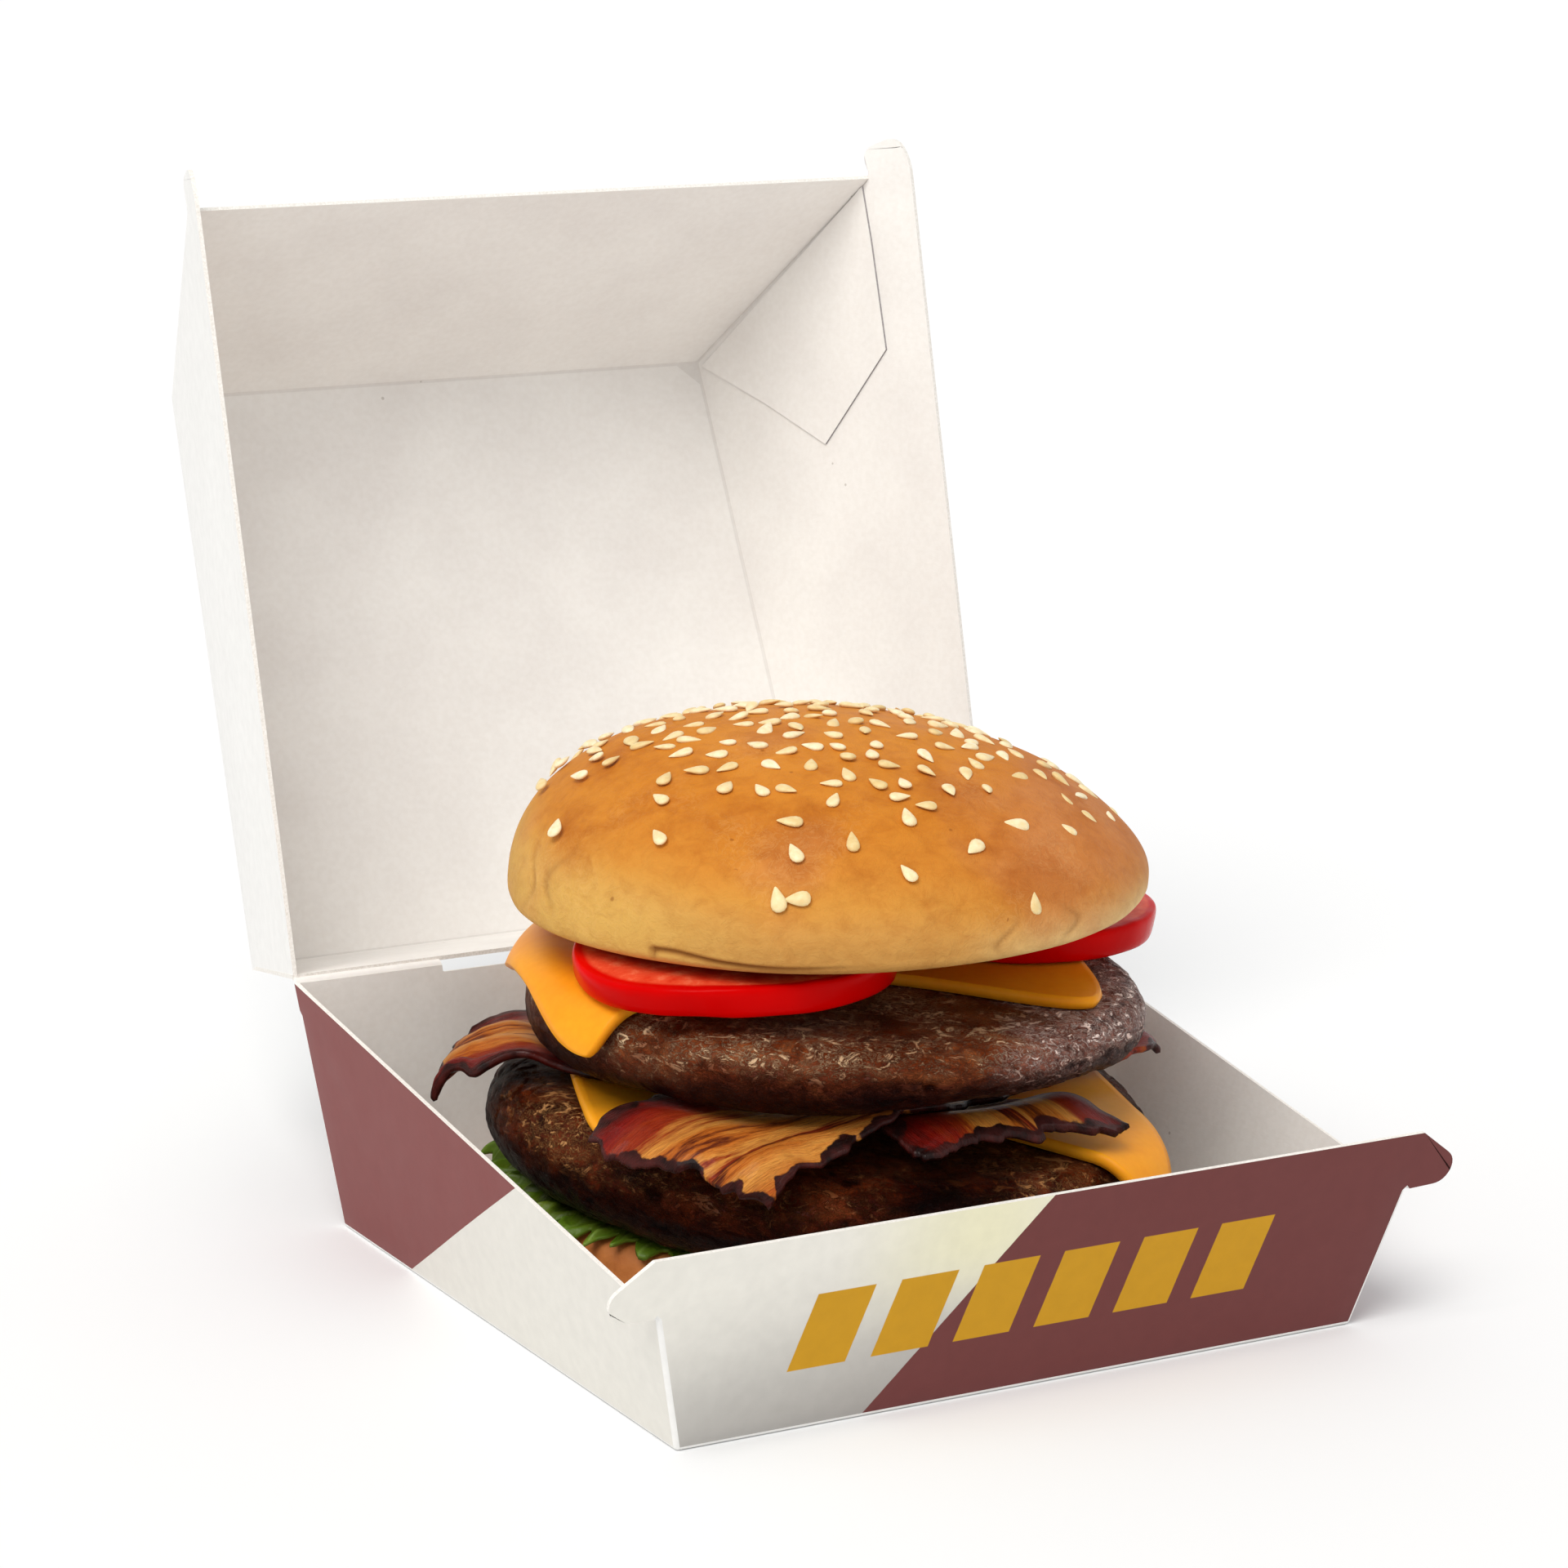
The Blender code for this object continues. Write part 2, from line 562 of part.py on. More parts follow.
def build():
    clear_scene()
    collection = new_collection("burger_in_clamshell")
    cutters = new_collection("cutters")
    card = new_material("card", (0.80, 0.78, 0.75), 0.55)
    crust = new_material("crust", (0.60, 0.30, 0.10), 0.50)
    heel = new_material("heel_crust", (0.45, 0.20, 0.07), 0.55)
    leaf = new_material("leaf", (0.10, 0.22, 0.04), 0.45)
    beef = new_material("grilled_beef", (0.10, 0.045, 0.025), 0.40)
    cheese = new_material("cheese", (0.85, 0.42, 0.05), 0.35)
    bacon = new_material("bacon", (0.40, 0.12, 0.05), 0.35)
    tomato = new_material("tomato", (0.70, 0.04, 0.02), 0.30)

    hinge = empty("hinge_frame", collection, (0.0, OPEN_D / 2, HINGE_H))
    hinge.rotation_euler = (-LID_OPEN, 0.0, 0.0)
    stack = empty("stack_frame", collection, (STACK_X, STACK_Y, BOARD + GAP + HEEL_H))
    stack.rotation_mode = "QUATERNION"
    stack.rotation_quaternion = Matrix.Rotation(-STACK_LEAN, 3, LEAN_AXIS).to_quaternion()

    box_base(collection, cutters, card)
    box_lid(collection, cutters, card, hinge)
    bun_heel(collection, heel)

    lower = Patty(PATTY_R_LOWER, PATTY_T_LOWER, PATTY_LOWER_Z, PATTY_LOWER_AT, 5, 0.0)
    upper = Patty(PATTY_R_UPPER, PATTY_T_UPPER, PATTY_UPPER_Z, PATTY_UPPER_AT, 8, UPPER_TILT)
    over_cheese = CHEESE_T + 2 * GAP
    layers = [
        lettuce_leaf(collection, leaf),
        patty_body("patty_lower", lower, collection, beef),
        cheese_slice("cheese_lower", lower, CHEESE_LOWER_CORNERS, CHEESE_LOWER_BOW, collection,
                     cheese),
        bacon_rasher("bacon_right", lower, BACON_RIGHT_ENDS, BACON_RIGHT_W, BACON_RIGHT_CUT,
                     BACON_RIGHT_BOW, BACON_RIGHT_RISE, over_cheese, 31, collection, bacon),
        bacon_rasher("bacon_left", lower, BACON_LEFT_ENDS, BACON_LEFT_W, BACON_LEFT_CUT,
                     BACON_LEFT_BOW, BACON_LEFT_RISE, over_cheese + BACON_T + GAP, 37,
                     collection, bacon),
        patty_body("patty_upper", upper, collection, beef),
        cheese_slice("cheese_upper", upper, CHEESE_UPPER_CORNERS, CHEESE_UPPER_BOW, collection,
                     cheese),
        tomato_slice("tomato_left", TOMATO_LEFT_AT, TOMATO_BEND_LEFT, TOMATO_ROLL, upper,
                     collection, tomato),
        tomato_slice("tomato_right", TOMATO_RIGHT_AT, TOMATO_BEND_RIGHT, 0.0, upper,
                     collection, tomato),
        bun_crown(collection, crust),
    ]
    for layer in layers:
        layer.parent = stack
    bpy.context.view_layer.update()


build()
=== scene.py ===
"""A burger in an open clamshell box: the finish of every surface.

Metres, +Z up.  The origin is the middle of the box's underside, the front
wall faces -Y, and the lid's hinge runs along X at the back.
"""
import itertools
import math
import random

import bmesh
import bpy
import numpy as np
from mathutils import Matrix, Vector
from mathutils.bvhtree import BVHTree


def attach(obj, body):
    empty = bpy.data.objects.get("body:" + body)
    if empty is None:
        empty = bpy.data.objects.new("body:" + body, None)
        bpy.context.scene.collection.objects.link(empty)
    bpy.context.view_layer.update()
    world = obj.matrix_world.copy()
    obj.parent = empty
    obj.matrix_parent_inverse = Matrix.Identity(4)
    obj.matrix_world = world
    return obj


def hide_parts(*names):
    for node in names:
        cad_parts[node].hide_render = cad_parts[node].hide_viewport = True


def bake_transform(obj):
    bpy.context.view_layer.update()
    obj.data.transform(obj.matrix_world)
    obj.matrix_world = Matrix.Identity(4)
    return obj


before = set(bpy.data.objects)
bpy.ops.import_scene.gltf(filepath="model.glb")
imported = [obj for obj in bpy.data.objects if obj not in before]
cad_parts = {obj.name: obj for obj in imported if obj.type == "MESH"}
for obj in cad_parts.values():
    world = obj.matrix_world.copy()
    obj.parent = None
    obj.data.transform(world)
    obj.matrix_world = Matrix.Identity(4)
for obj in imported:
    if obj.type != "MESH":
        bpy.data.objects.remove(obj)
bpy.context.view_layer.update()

# ------------------------------------------------------------ box dimensions
# The same sizes as the solids have.  W, D, H, X, Y, Z, R and T stand for width,
# depth, height, the three places, radius and thickness.
BOARD = 0.0007
BASE_W, BASE_D, BASE_Y = 0.1268, 0.1124, -0.0015        # the floor
OPEN_W, OPEN_D = 0.1396, 0.1236                         # the tray's opening
FRONT_H, HINGE_H = 0.0236, 0.0419                       # its front corners and hinge
FRONT_TOP_W, FRONT_TOP_H = 0.1430, 0.0335               # the front wall's upper strip
EAR_REACH, EAR_ROUND = 0.0078, 0.0024
EAR_LOW, EAR_SHARE, EAR_TAPER = 0.0003, 0.44, 0.0016    # the ear's lower edge
EDGE_ROOM = 0.0002              # ears and folds keep this far inside the solid's outline
FOLD_GAP = 0.0004               # half of the gap that the hinge fold fills
SLIT_W, SLIT_H = 0.0848, 0.0012
ACROSS, RISES = 22, 8           # how many parts a wall is split into, along and up

# The lid as it lies when shut, Y being the distance from the hinge.
LID_H = 0.0410
LID_OPEN = math.radians(115.4)
ROOF_W_FRONT, ROOF_W_BACK, ROOF_D, ROOF_Y = 0.1082, 0.1166, 0.1037, 0.0079
LIP_W, LIP_Y, LIP_Z = 0.1364, 0.1316, -0.0090
LID_EAR_Y, LID_EAR_TOP, LID_EAR_LOW = 0.1366, -0.0085, -0.0187
LID_EAR_ROUND, LID_EAR_SHARE, LID_EAR_TAPER = 0.0028, 0.18, 0.0050
FLAP_CORNERS = ((0.1302, -0.0078), (0.1001, -0.0044), (0.0877, 0.0146), (0.0989, 0.0262),
                (0.1100, 0.0390))
FLAP_PROUD, FLAP_CLEAR = 0.00035, 0.0001   # how far its two faces stand off the wall
FLAP_PITCH = 0.0018             # distance between its cuts
FOLD_ROUND = 0.0007             # rounding along a fold
FOLD_REACH, FOLD_SKIN = 0.0011, 0.00006   # the hinge fold's reach into the boards, and inset
CARD_SHARP, FOLD_SHARP = 35, 50     # edges sharper than these angles stay sharp
# How far the walls bulge in their middle: the tray's sides, and the lid's roof,
# front and sides.
SIDE_BULGE, ROOF_BULGE, LIP_BULGE, LID_SIDE_BULGE = 0.0006, 0.0009, -0.0004, 0.0005

# ---------------------------------------------------------- burger dimensions
GAP = 0.0003                    # between neighbours
SHEET_ROOM = 0.0018             # a draped sheet's bend starts this far past the flat
STACK_X, STACK_Y = -0.0025, -0.0008
STACK_LEAN = math.radians(3.5)  # down to the viewer's right, about the next line's axis
LEAN_AXIS = Vector((-0.524, -0.852, 0.0))
TO_RIGHT = np.array((0.852, -0.524))    # the viewer's right, in plan
FRONT = math.radians(-121.6)    # direction of the burger's front

HEEL_R, HEEL_H, HEEL_EDGE, HEEL_BULGE = 0.0510, 0.0149, 0.0040, 0.0004
LEAF_R, LEAF_D, LEAF_T, LEAF_BEND = 0.0618, 0.0542, 0.0015, 0.0125
LEAF_TURN = math.radians(-31.6)     # direction of the leaf's longest reach
PATTY_T_LOWER, PATTY_T_UPPER = 0.0154, 0.0118
PATTY_R_LOWER, PATTY_R_UPPER = 0.0560, 0.0498
UNDER_RISE, UNDER_DROP, UNDER_SAG = 0.0034, 0.0018, 0.0004  # the upper patty's underside
CHEESE_T, BACON_T = 0.0020, 0.0018
TOMATO_R, TOMATO_T, TOMATO_EDGE = 0.0256, 0.0050, 0.0010
BUN_R, BUN_H, BUN_WAIST, BUN_HOLLOW = 0.0517, 0.0290, 0.0048, 0.0010
BUN_LEVELS = math.radians(1.2)  # how much less than the stack the crown leans
BUN_SEAT = math.radians(5.4)    # how far the underside leans from the dome
RIM_ROUND, RIM_DROP = 0.35, 0.45   # how squarely the crown turns under below its widest

LEAF_Z = GAP
PATTY_LOWER_Z = LEAF_Z + LEAF_T + GAP
BACON_ROOM = 0.0024             # height that the wavy bacon takes up
BUN_ROOM = 0.0026               # height that the leaning slices under the crown take up
UPPER_TILT = 0.038              # rise to the right of the upper patty and what lies on it
PATTY_UPPER_Z = PATTY_LOWER_Z + PATTY_T_LOWER + CHEESE_T + 2 * BACON_T + 4 * GAP + BACON_ROOM
TOMATO_Z = PATTY_UPPER_Z + PATTY_T_UPPER + CHEESE_T + 2 * GAP
BUN_Z = TOMATO_Z + TOMATO_T + BUN_ROOM

PATTY_LOWER_AT = (-0.0006, 0.0003)
PATTY_UPPER_AT = (-0.0028, -0.0013)
BUN_AT = (-0.0036, 0.0042)
OVER_CHEESE = CHEESE_T + 2 * GAP   # height over a patty of what lies on its cheese
BACON_BEND_FRONT, BACON_BEND_BACK = 0.0140, 0.0150
BACON_ARCH_LEFT, BACON_ARCH_RIGHT = 0.0004, 0.0048   # hump over the patty's shoulder
BACON_ARCH_AT, BACON_ARCH_W = 0.0425, 0.0080

STACK = (Matrix.Translation((STACK_X, STACK_Y, BOARD + GAP + HEEL_H))
         @ Matrix.Rotation(-STACK_LEAN, 4, LEAN_AXIS))
CROWN = (STACK @ Matrix.Translation((*BUN_AT, BUN_Z))
         @ Matrix.Rotation(BUN_LEVELS, 4, LEAN_AXIS))
HINGE = (Matrix.Translation((0.0, OPEN_D / 2, HINGE_H))
         @ Matrix.Rotation(-LID_OPEN, 4, "X"))


# -------------------------------------------------------------- small helpers
def mix(low, high, share):
    return low + (high - low) * share


def smoothstep(low, high, value):
    share = np.clip((value - low) / (high - low), 0.0, 1.0)
    return share * share * (3.0 - 2.0 * share)


def around(values, centre, width):
    """A soft hump: 1 at the centre, falling to 0 over the width."""
    return np.exp(-((values - centre) / width) ** 2)


def angle_from(angle, middle):
    """Signed difference between directions, from -pi to pi."""
    return (angle - middle + math.pi) % math.tau - math.pi


def rgb(red, green, blue):
    """A display colour, 0 to 255, as the linear colour that shaders take."""
    linear = [(c / 255 / 12.92) if c < 10 else ((c / 255 + 0.055) / 1.055) ** 2.4
              for c in (red, green, blue)]
    return (*linear, 1.0)


def uneven(seed, amount, waves=(2, 3, 5, 7)):
    """A closed outline's factor by direction: 1 with a few gentle waves."""
    rng = random.Random(seed)
    terms = [(k, amount / math.sqrt(k), rng.uniform(0, math.tau)) for k in waves]
    return lambda angle: 1.0 + sum(a * np.cos(k * angle + p) for k, a, p in terms)


def circle(columns):
    """Directions once round."""
    return np.linspace(0, math.tau, columns, endpoint=False)


def spun(radius, angle, height):
    """Points by their distance from the Z axis, their direction and their height."""
    parts = np.broadcast_arrays(radius * np.cos(angle), radius * np.sin(angle), height)
    return np.stack(parts, axis=1)


def revolved(columns, *rows):
    """For each point of a round body, its direction and its row's values."""
    return np.tile(circle(columns), len(rows[0])), *[np.repeat(row, columns) for row in rows]


def bent_line(start, corner, end, steps):
    """A smooth turn from start to end that leans into the corner."""
    return [mix(mix(start, corner, t), mix(corner, end, t), t) for t in evenly(steps)]


def evenly(count):
    """The shares from 0 to 1 that split a length into that many parts."""
    return [i / count for i in range(count + 1)]


# ---------------------------------------------------------------------- noise
def hashed(cell, seed):
    """A repeatable number from 0 to 1 for each whole-number cell."""
    x, y, z = np.moveaxis(cell.astype(np.int64), -1, 0)
    mixed = (x * 73856093) ^ (y * 19349663) ^ (z * 83492791) ^ (seed * 2654435761)
    for _ in range(2):
        mixed &= 0xFFFFFFFF
        mixed = (mixed ^ (mixed >> 16)) * 0x45D9F3B
    mixed &= 0xFFFFFFFF
    return ((mixed ^ (mixed >> 16)) & 0xFFFFFF) / 0xFFFFFF


def soft_noise(points, size, seed, octaves=1):
    """Smooth noise, about -1 to 1, its largest features of that size."""
    total = np.zeros(len(points))
    for octave in range(octaves):
        scaled = points / (size / 2 ** octave) + 17.3 * octave
        cell = np.floor(scaled)
        part = scaled - cell
        part = part * part * (3 - 2 * part)
        for corner in itertools.product((0, 1), repeat=3):
            weight = np.prod(np.where(corner, part, 1 - part), axis=1)
            total += weight * (2 * hashed(cell + corner, seed + octave) - 1) / 2 ** octave
    return total


def grains(points, size, seed):
    """How far inside a grain each point is, 0 to 1, and the grain's own number."""
    scaled = points / size
    cell = np.floor(scaled)
    near = np.full(len(points), 9.0)
    second = near.copy()
    number = np.zeros(len(points))
    for step in itertools.product((-1, 0, 1), repeat=3):
        other = cell + step
        spot = other + np.stack([hashed(other, seed + k) for k in range(3)], axis=1)
        distance = np.linalg.norm(scaled - spot, axis=1)
        closer = distance < near
        second = np.where(closer, near, np.minimum(second, distance))
        number = np.where(closer, hashed(other, seed + 3), number)
        near = np.where(closer, distance, near)
    return np.clip((second - near) * 2.0, 0.0, 1.0), number


# --------------------------------------------------------------------- meshes
def added(name, data):
    """A new object in the scene."""
    obj = bpy.data.objects.new(name, data)
    bpy.context.scene.collection.objects.link(obj)
    return obj


def new_piece(name, mesh, looks, node, body="base", place=None, sharp=None):
    """Puts a finished mesh in the scene, riding on its body for its CAD node."""
    for look in looks:
        mesh.materials.append(look)
    mesh.shade_smooth()
    if sharp is not None:
        mesh.set_sharp_from_angle(angle=math.radians(sharp))
    obj = added(name, mesh)
    if place is not None:
        obj.matrix_world = place
    if body is not None:
        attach(obj, body)
    if node is not None:
        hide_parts(node)
    return obj


def mesh_of(name, points, faces, marks=None):
    """A mesh from points and faces, with named values on its points."""
    mesh = bpy.data.meshes.new(name)
    mesh.from_pydata(np.asarray(points).tolist(), [], faces)
    for mark, values in (marks or {}).items():
        layer = mesh.attributes.new(mark, "FLOAT", "POINT")
        layer.data.foreach_set("value", np.asarray(values, dtype=np.float32))
    return mesh


def grid_faces(rows, columns, wrap=False, first=0):
    """Quads over a grid of points numbered row by row."""
    index = first + np.arange(rows * columns).reshape(rows, columns)
    if wrap:
        index = np.hstack([index, index[:, :1]])
    quads = np.stack([index[:-1, :-1], index[1:, :-1], index[1:, 1:], index[:-1, 1:]], axis=-1)
    return quads.reshape(-1, 4).tolist()


def closed_rows(points, columns):
    """Faces of a round body: rows of points round it, then its two poles."""
    rows = (len(points) - 2) // columns
    faces = grid_faces(rows, columns, wrap=True)
    top, bottom = rows * columns, rows * columns + 1
    last = (rows - 1) * columns
    for i in range(columns):
        j = (i + 1) % columns
        faces += [[top, i, j], [last + j, last + i, bottom]]
    return faces


def sheet_faces(rows, columns):
    """Faces of a closed sheet: top grid, underside grid, then the rim's middle line."""
    under = rows * columns
    faces = grid_faces(rows, columns)
    faces += [face[::-1] for face in grid_faces(rows, columns, first=under)]
    ring = rim_ring(rows, columns).tolist()
    for i, a in enumerate(ring):
        j = (i + 1) % len(ring)
        b, middle, following = ring[j], 2 * under + i, 2 * under + j
        faces += [[b, a, middle, following], [following, middle, under + a, under + b]]
    return faces


def rim_ring(rows, columns):
    """The grid's outermost points in order."""
    index = np.arange(rows * columns).reshape(rows, columns)
    return np.concatenate([index[0, :-1], index[:-1, -1], index[-1, :0:-1], index[:0:-1, 0]])


def sheet_grid(rows, columns):
    """(u, v, height share) of a closed sheet's points: top, underside, rim line."""
    v, u = np.meshgrid(np.linspace(-1, 1, rows), np.linspace(-1, 1, columns), indexing="ij")
    u, v = u.ravel(), v.ravel()
    ring = rim_ring(rows, columns)
    height = np.concatenate([np.ones(u.size), np.zeros(u.size), np.full(len(ring), 0.5)])
    return np.concatenate([u, u, u[ring]]), np.concatenate([v, v, v[ring]]), height


def repair_normals(mesh):
    """Turns all faces of a closed mesh outwards."""
    bm = bmesh.new()
    bm.from_mesh(mesh)
    bmesh.ops.recalc_face_normals(bm, faces=bm.faces)
    bm.to_mesh(mesh)
    bm.free()
    return mesh


def solid(name, points, faces, marks, look, node, place=STACK):
    """A closed piece of food, in one material."""
    mesh = repair_normals(mesh_of(name, points, faces, marks))
    return new_piece(name, mesh, [look], node, place=place)


# ------------------------------------------------------------------ materials
class Look:
    """A material built node by node on one Principled shader.

    Colours are display colours, 0 to 255, on every socket that takes one.
    """

    def __init__(self, name, **values):
        self.material = bpy.data.materials.new(name)
        self.material.use_nodes = True
        tree = self.material.node_tree
        self.nodes, self.links = tree.nodes, tree.links
        self.shader = self.nodes["Principled BSDF"]
        self.place = self.node("TexCoord").outputs["Object"]
        self.set(**values)

    def feed(self, socket, value):
        if isinstance(value, bpy.types.NodeSocket):
            self.links.new(value, socket)
        else:
            socket.default_value = rgb(*value) if socket.type == "RGBA" else value

    def node(self, kind, inputs=None, **settings):
        made = self.nodes.new("ShaderNode" + kind)
        for key, value in settings.items():
            setattr(made, key, value)
        for key, value in (inputs or {}).items():
            self.feed(made.inputs[key], value)
        return made

    def set(self, **values):
        """Sets the shader's inputs; underscores stand for spaces."""
        for key, value in values.items():
            self.feed(self.shader.inputs[key.replace("_", " ")], value)

    def scatter(self, weight, radius, scale):
        """Lets light wander under the surface."""
        self.set(Subsurface_Weight=weight, Subsurface_Radius=radius, Subsurface_Scale=scale)

    # sources: places, noises and the mesh's own values
    def scaled(self, x, y, z):
        made = self.node("VectorMath", {0: self.place, 1: (x, y, z)}, operation="MULTIPLY")
        return made.outputs[0]

    def noise(self, scale, detail=3.0, roughness=0.5, distortion=0.0, at=None):
        made = self.node("TexNoise", {"Vector": at or self.place, "Scale": scale,
                                      "Detail": detail, "Roughness": roughness,
                                      "Distortion": distortion})
        return made.outputs["Fac"]

    def specks(self, scale, edge, core):
        """Small round dots, one to a cell: 1 within core, 0 beyond edge."""
        cells = self.node("TexVoronoi", {"Vector": self.place, "Scale": scale})
        return self.step(cells.outputs["Distance"], edge, core)

    def mark(self, name):
        return self.node("Attribute", attribute_name=name).outputs["Fac"]

    def axis(self, letter):
        return self.node("SeparateXYZ", {0: self.place}).outputs[letter]

    # numbers
    def maths(self, operation, a, b=0.0, c=0.5, clamp=False):
        made = self.node("Math", {0: a, 1: b, 2: c}, operation=operation, use_clamp=clamp)
        return made.outputs[0]

    def plus(self, a, b):
        return self.maths("ADD", a, b)

    def minus(self, a, b, clamp=False):
        return self.maths("SUBTRACT", a, b, clamp=clamp)

    def times(self, a, b, clamp=False):
        return self.maths("MULTIPLY", a, b, clamp=clamp)

    def swing(self, value, reach):
        """A noise centred on 0."""
        return self.times(self.minus(value, 0.5), reach)

    def ridge(self, value, sharpness):
        """1 along the lines where a noise crosses its middle, falling off to 0."""
        return self.minus(1.0, self.maths("ABSOLUTE", self.swing(value, sharpness)), clamp=True)

    def step(self, value, low, high):
        """Rises smoothly from 0 at low to 1 at high."""
        made = self.node("MapRange", {"Value": value, "From Min": low, "From Max": high},
                         interpolation_type="SMOOTHSTEP")
        return made.outputs["Result"]

    def range(self, value, low, high):
        """Carries 0 to 1 over to low to high."""
        made = self.node("MapRange", {"Value": value, "To Min": low, "To Max": high})
        return made.outputs["Result"]

    # colours
    def mix(self, share, a, b, blend="MIX"):
        made = self.node("Mix", data_type="RGBA", blend_type=blend)
        for index, value in ((0, share), (6, a), (7, b)):
            self.feed(made.inputs[index], value)
        return made.outputs[2]

    def tint(self, base, mask, strength, colour):
        """Lays a colour over the base where the mask is 1, at that strength."""
        return self.mix(self.times(mask, strength), base, colour)

    def stain(self, base, strength, value, low, high, colour):
        """Multiplies by a colour where the value is low, and fades it out by high."""
        veil = self.ramp(value, (low, *colour), (high, 255, 255, 255))
        return self.mix(strength, base, veil, "MULTIPLY")

    def ramp(self, value, *stops):
        """A colour by value; each stop is its position and its colour."""
        made = self.node("ValToRGB", {0: value})
        points = made.color_ramp.elements
        while len(points) < len(stops):
            points.new(0.5)
        for point, (position, *colour) in zip(points, stops):
            point.position = position
            point.color = rgb(*colour)
        return made.outputs["Color"]

    def bump(self, height, distance, after=None):
        inputs = {"Height": height, "Distance": distance}
        if after is not None:
            inputs["Normal"] = after
        normal = self.node("Bump", inputs).outputs["Normal"]
        self.set(Normal=normal)
        return normal


def card_bump(look, fibre=0.00003, sag=0.00012):
    """Fine fibres and the board's slow unevenness."""
    slow = look.bump(look.noise(38, 2), sag)
    look.bump(look.noise(1500, 4, at=look.scaled(1, 0.45, 1)), fibre, after=slow)


def inside_board():
    """The uncoated side: warm grey-white with faint mottling, few specks and a line of painted
    shade along each fold.
    """
    look = Look("board_inside")
    mottle = look.noise(60, 4)
    base = look.ramp(mottle, (0.3, 240, 237, 233), (0.7, 247, 245, 241))
    base = look.stain(base, 0.10, look.noise(900, 3), 0.35, 0.65, (214, 207, 199))
    # painted shade: a darker line along every fold, where the fold mark is set
    base = look.tint(base, look.step(look.mark("fold"), 0.95, 0.995), 0.17, (150, 140, 132))
    rare = look.maths("GREATER_THAN", look.noise(23, 0), 0.60)
    specks = look.times(look.specks(95, 0.035, 0.022), rare)
    look.set(Base_Color=look.tint(base, specks, 0.45, (150, 138, 125)),
             Roughness=look.range(mottle, 0.74, 0.90))
    card_bump(look)
    return look.material


def cut_edge(name, dark, light):
    """The board's cut edge: paper layers."""
    look = Look(name, Roughness=0.9)
    layers = look.noise(2600, 2)
    look.set(Base_Color=look.ramp(layers, (0.3, *dark), (0.7, *light)))
    look.bump(layers, 0.00004)
    return look.material


# the tray walls' white, darker than the plain board's white: painted shade
WALL_WHITE_SHADED = (228, 225, 217)
PRINT_MAROON = (130, 68, 66)
# the front's maroon, darker than on the other walls: painted shade
MAROON_FRONT_SHADED = (112, 57, 55)
PRINT_MUSTARD = (204, 150, 18)
PRINT_BLUR = 0.00008            # half the width of a printed edge


def printed(look, colour):
    """Ink on coated board: a faint mottle and a soft sheen."""
    look.set(Base_Color=look.stain(colour, 0.35, look.noise(420, 4), 0.3, 0.7, (236, 236, 236)),
             Roughness=look.range(look.noise(130, 3), 0.42, 0.56), Specular_IOR_Level=0.22)
    card_bump(look, 0.000012)
    return look.material


def plain_print():
    look = Look("board_outside")
    return printed(look, look.mix(look.noise(30, 2), (240, 239, 236), (246, 245, 242)))


def split_print(name, letter, start, slope, sign, bars=False):
    """A wall in white and maroon, parted by a slanting line.

    letter is the axis along the wall, start the line's place at the floor,
    slope its shift for each metre of height, and sign +1 where maroon lies
    past the line.
    """
    look = Look(name)
    along, up = look.axis(letter), look.axis("Z")
    line = look.maths("MULTIPLY_ADD", up, slope, start)
    side = look.times(look.minus(along, line), sign)
    wobble = look.swing(look.noise(700, 2), 0.00012)
    edge = look.step(look.plus(side, wobble), -PRINT_BLUR, PRINT_BLUR)
    if not bars:
        return printed(look, look.mix(edge, WALL_WHITE_SHADED, PRINT_MAROON))
    # on the front, painted light and shade: the white greys towards the bottom and glows cream
    # above, and the maroon is darker
    colour = look.mix(edge, front_white_with_painted_shade(look, along, up), MAROON_FRONT_SHADED)
    bars = slanted_bars(look, along, up, wobble)
    return printed(look, look.mix(bars, colour, PRINT_MUSTARD))


BAR_PITCH, BAR_W, BAR_SLANT = 0.0150, 0.0104, 0.30
BAR_LOW, BAR_HIGH = 0.0105, 0.0232
BAR_LEFT, BAR_RIGHT = -0.0455, 0.0400


def front_white_with_painted_shade(look, along, up):
    """The front's pale field: grey painted shade at the bottom, and a painted glow of cream light
    towards its upper middle.
    """
    leftness = look.times(look.plus(along, 0.020), -18.0, clamp=True)
    height = look.plus(look.times(up, 1 / FRONT_TOP_H), look.times(leftness, 0.28))
    # painted shade: grey low down, lightening upwards and towards the left end
    grey = look.ramp(height, (0.05, 166, 162, 158), (0.45, 198, 195, 189),
                     (0.75, 226, 223, 215), (1.0, 238, 235, 226))
    middle = look.step(look.maths("ABSOLUTE", look.plus(along, 0.012)), 0.030, 0.0)
    # painted light: a cream glow in the upper middle
    glow = look.times(middle, look.step(height, 0.35, 0.85))
    return look.tint(grey, glow, 0.9, (240, 236, 200))


def slanted_bars(look, along, up, wobble):
    """A row of six plain slanted bars across the front wall, as a mask."""
    lean = look.maths("MULTIPLY_ADD", look.minus(up, BAR_LOW), -BAR_SLANT, 0.0)
    along = look.plus(look.plus(along, lean), wobble)
    within = look.maths("PINGPONG", look.minus(along, BAR_LEFT + BAR_W / 2), BAR_PITCH / 2)
    mask = look.step(within, BAR_W / 2 + PRINT_BLUR, BAR_W / 2 - PRINT_BLUR)
    for part in (look.step(up, BAR_LOW - PRINT_BLUR, BAR_LOW + PRINT_BLUR),
                 look.step(up, BAR_HIGH + PRINT_BLUR, BAR_HIGH - PRINT_BLUR),
                 look.maths("GREATER_THAN", along, BAR_LEFT - 0.001),
                 look.maths("LESS_THAN", along, BAR_RIGHT + 0.001)):
        mask = look.times(mask, part)
    return mask


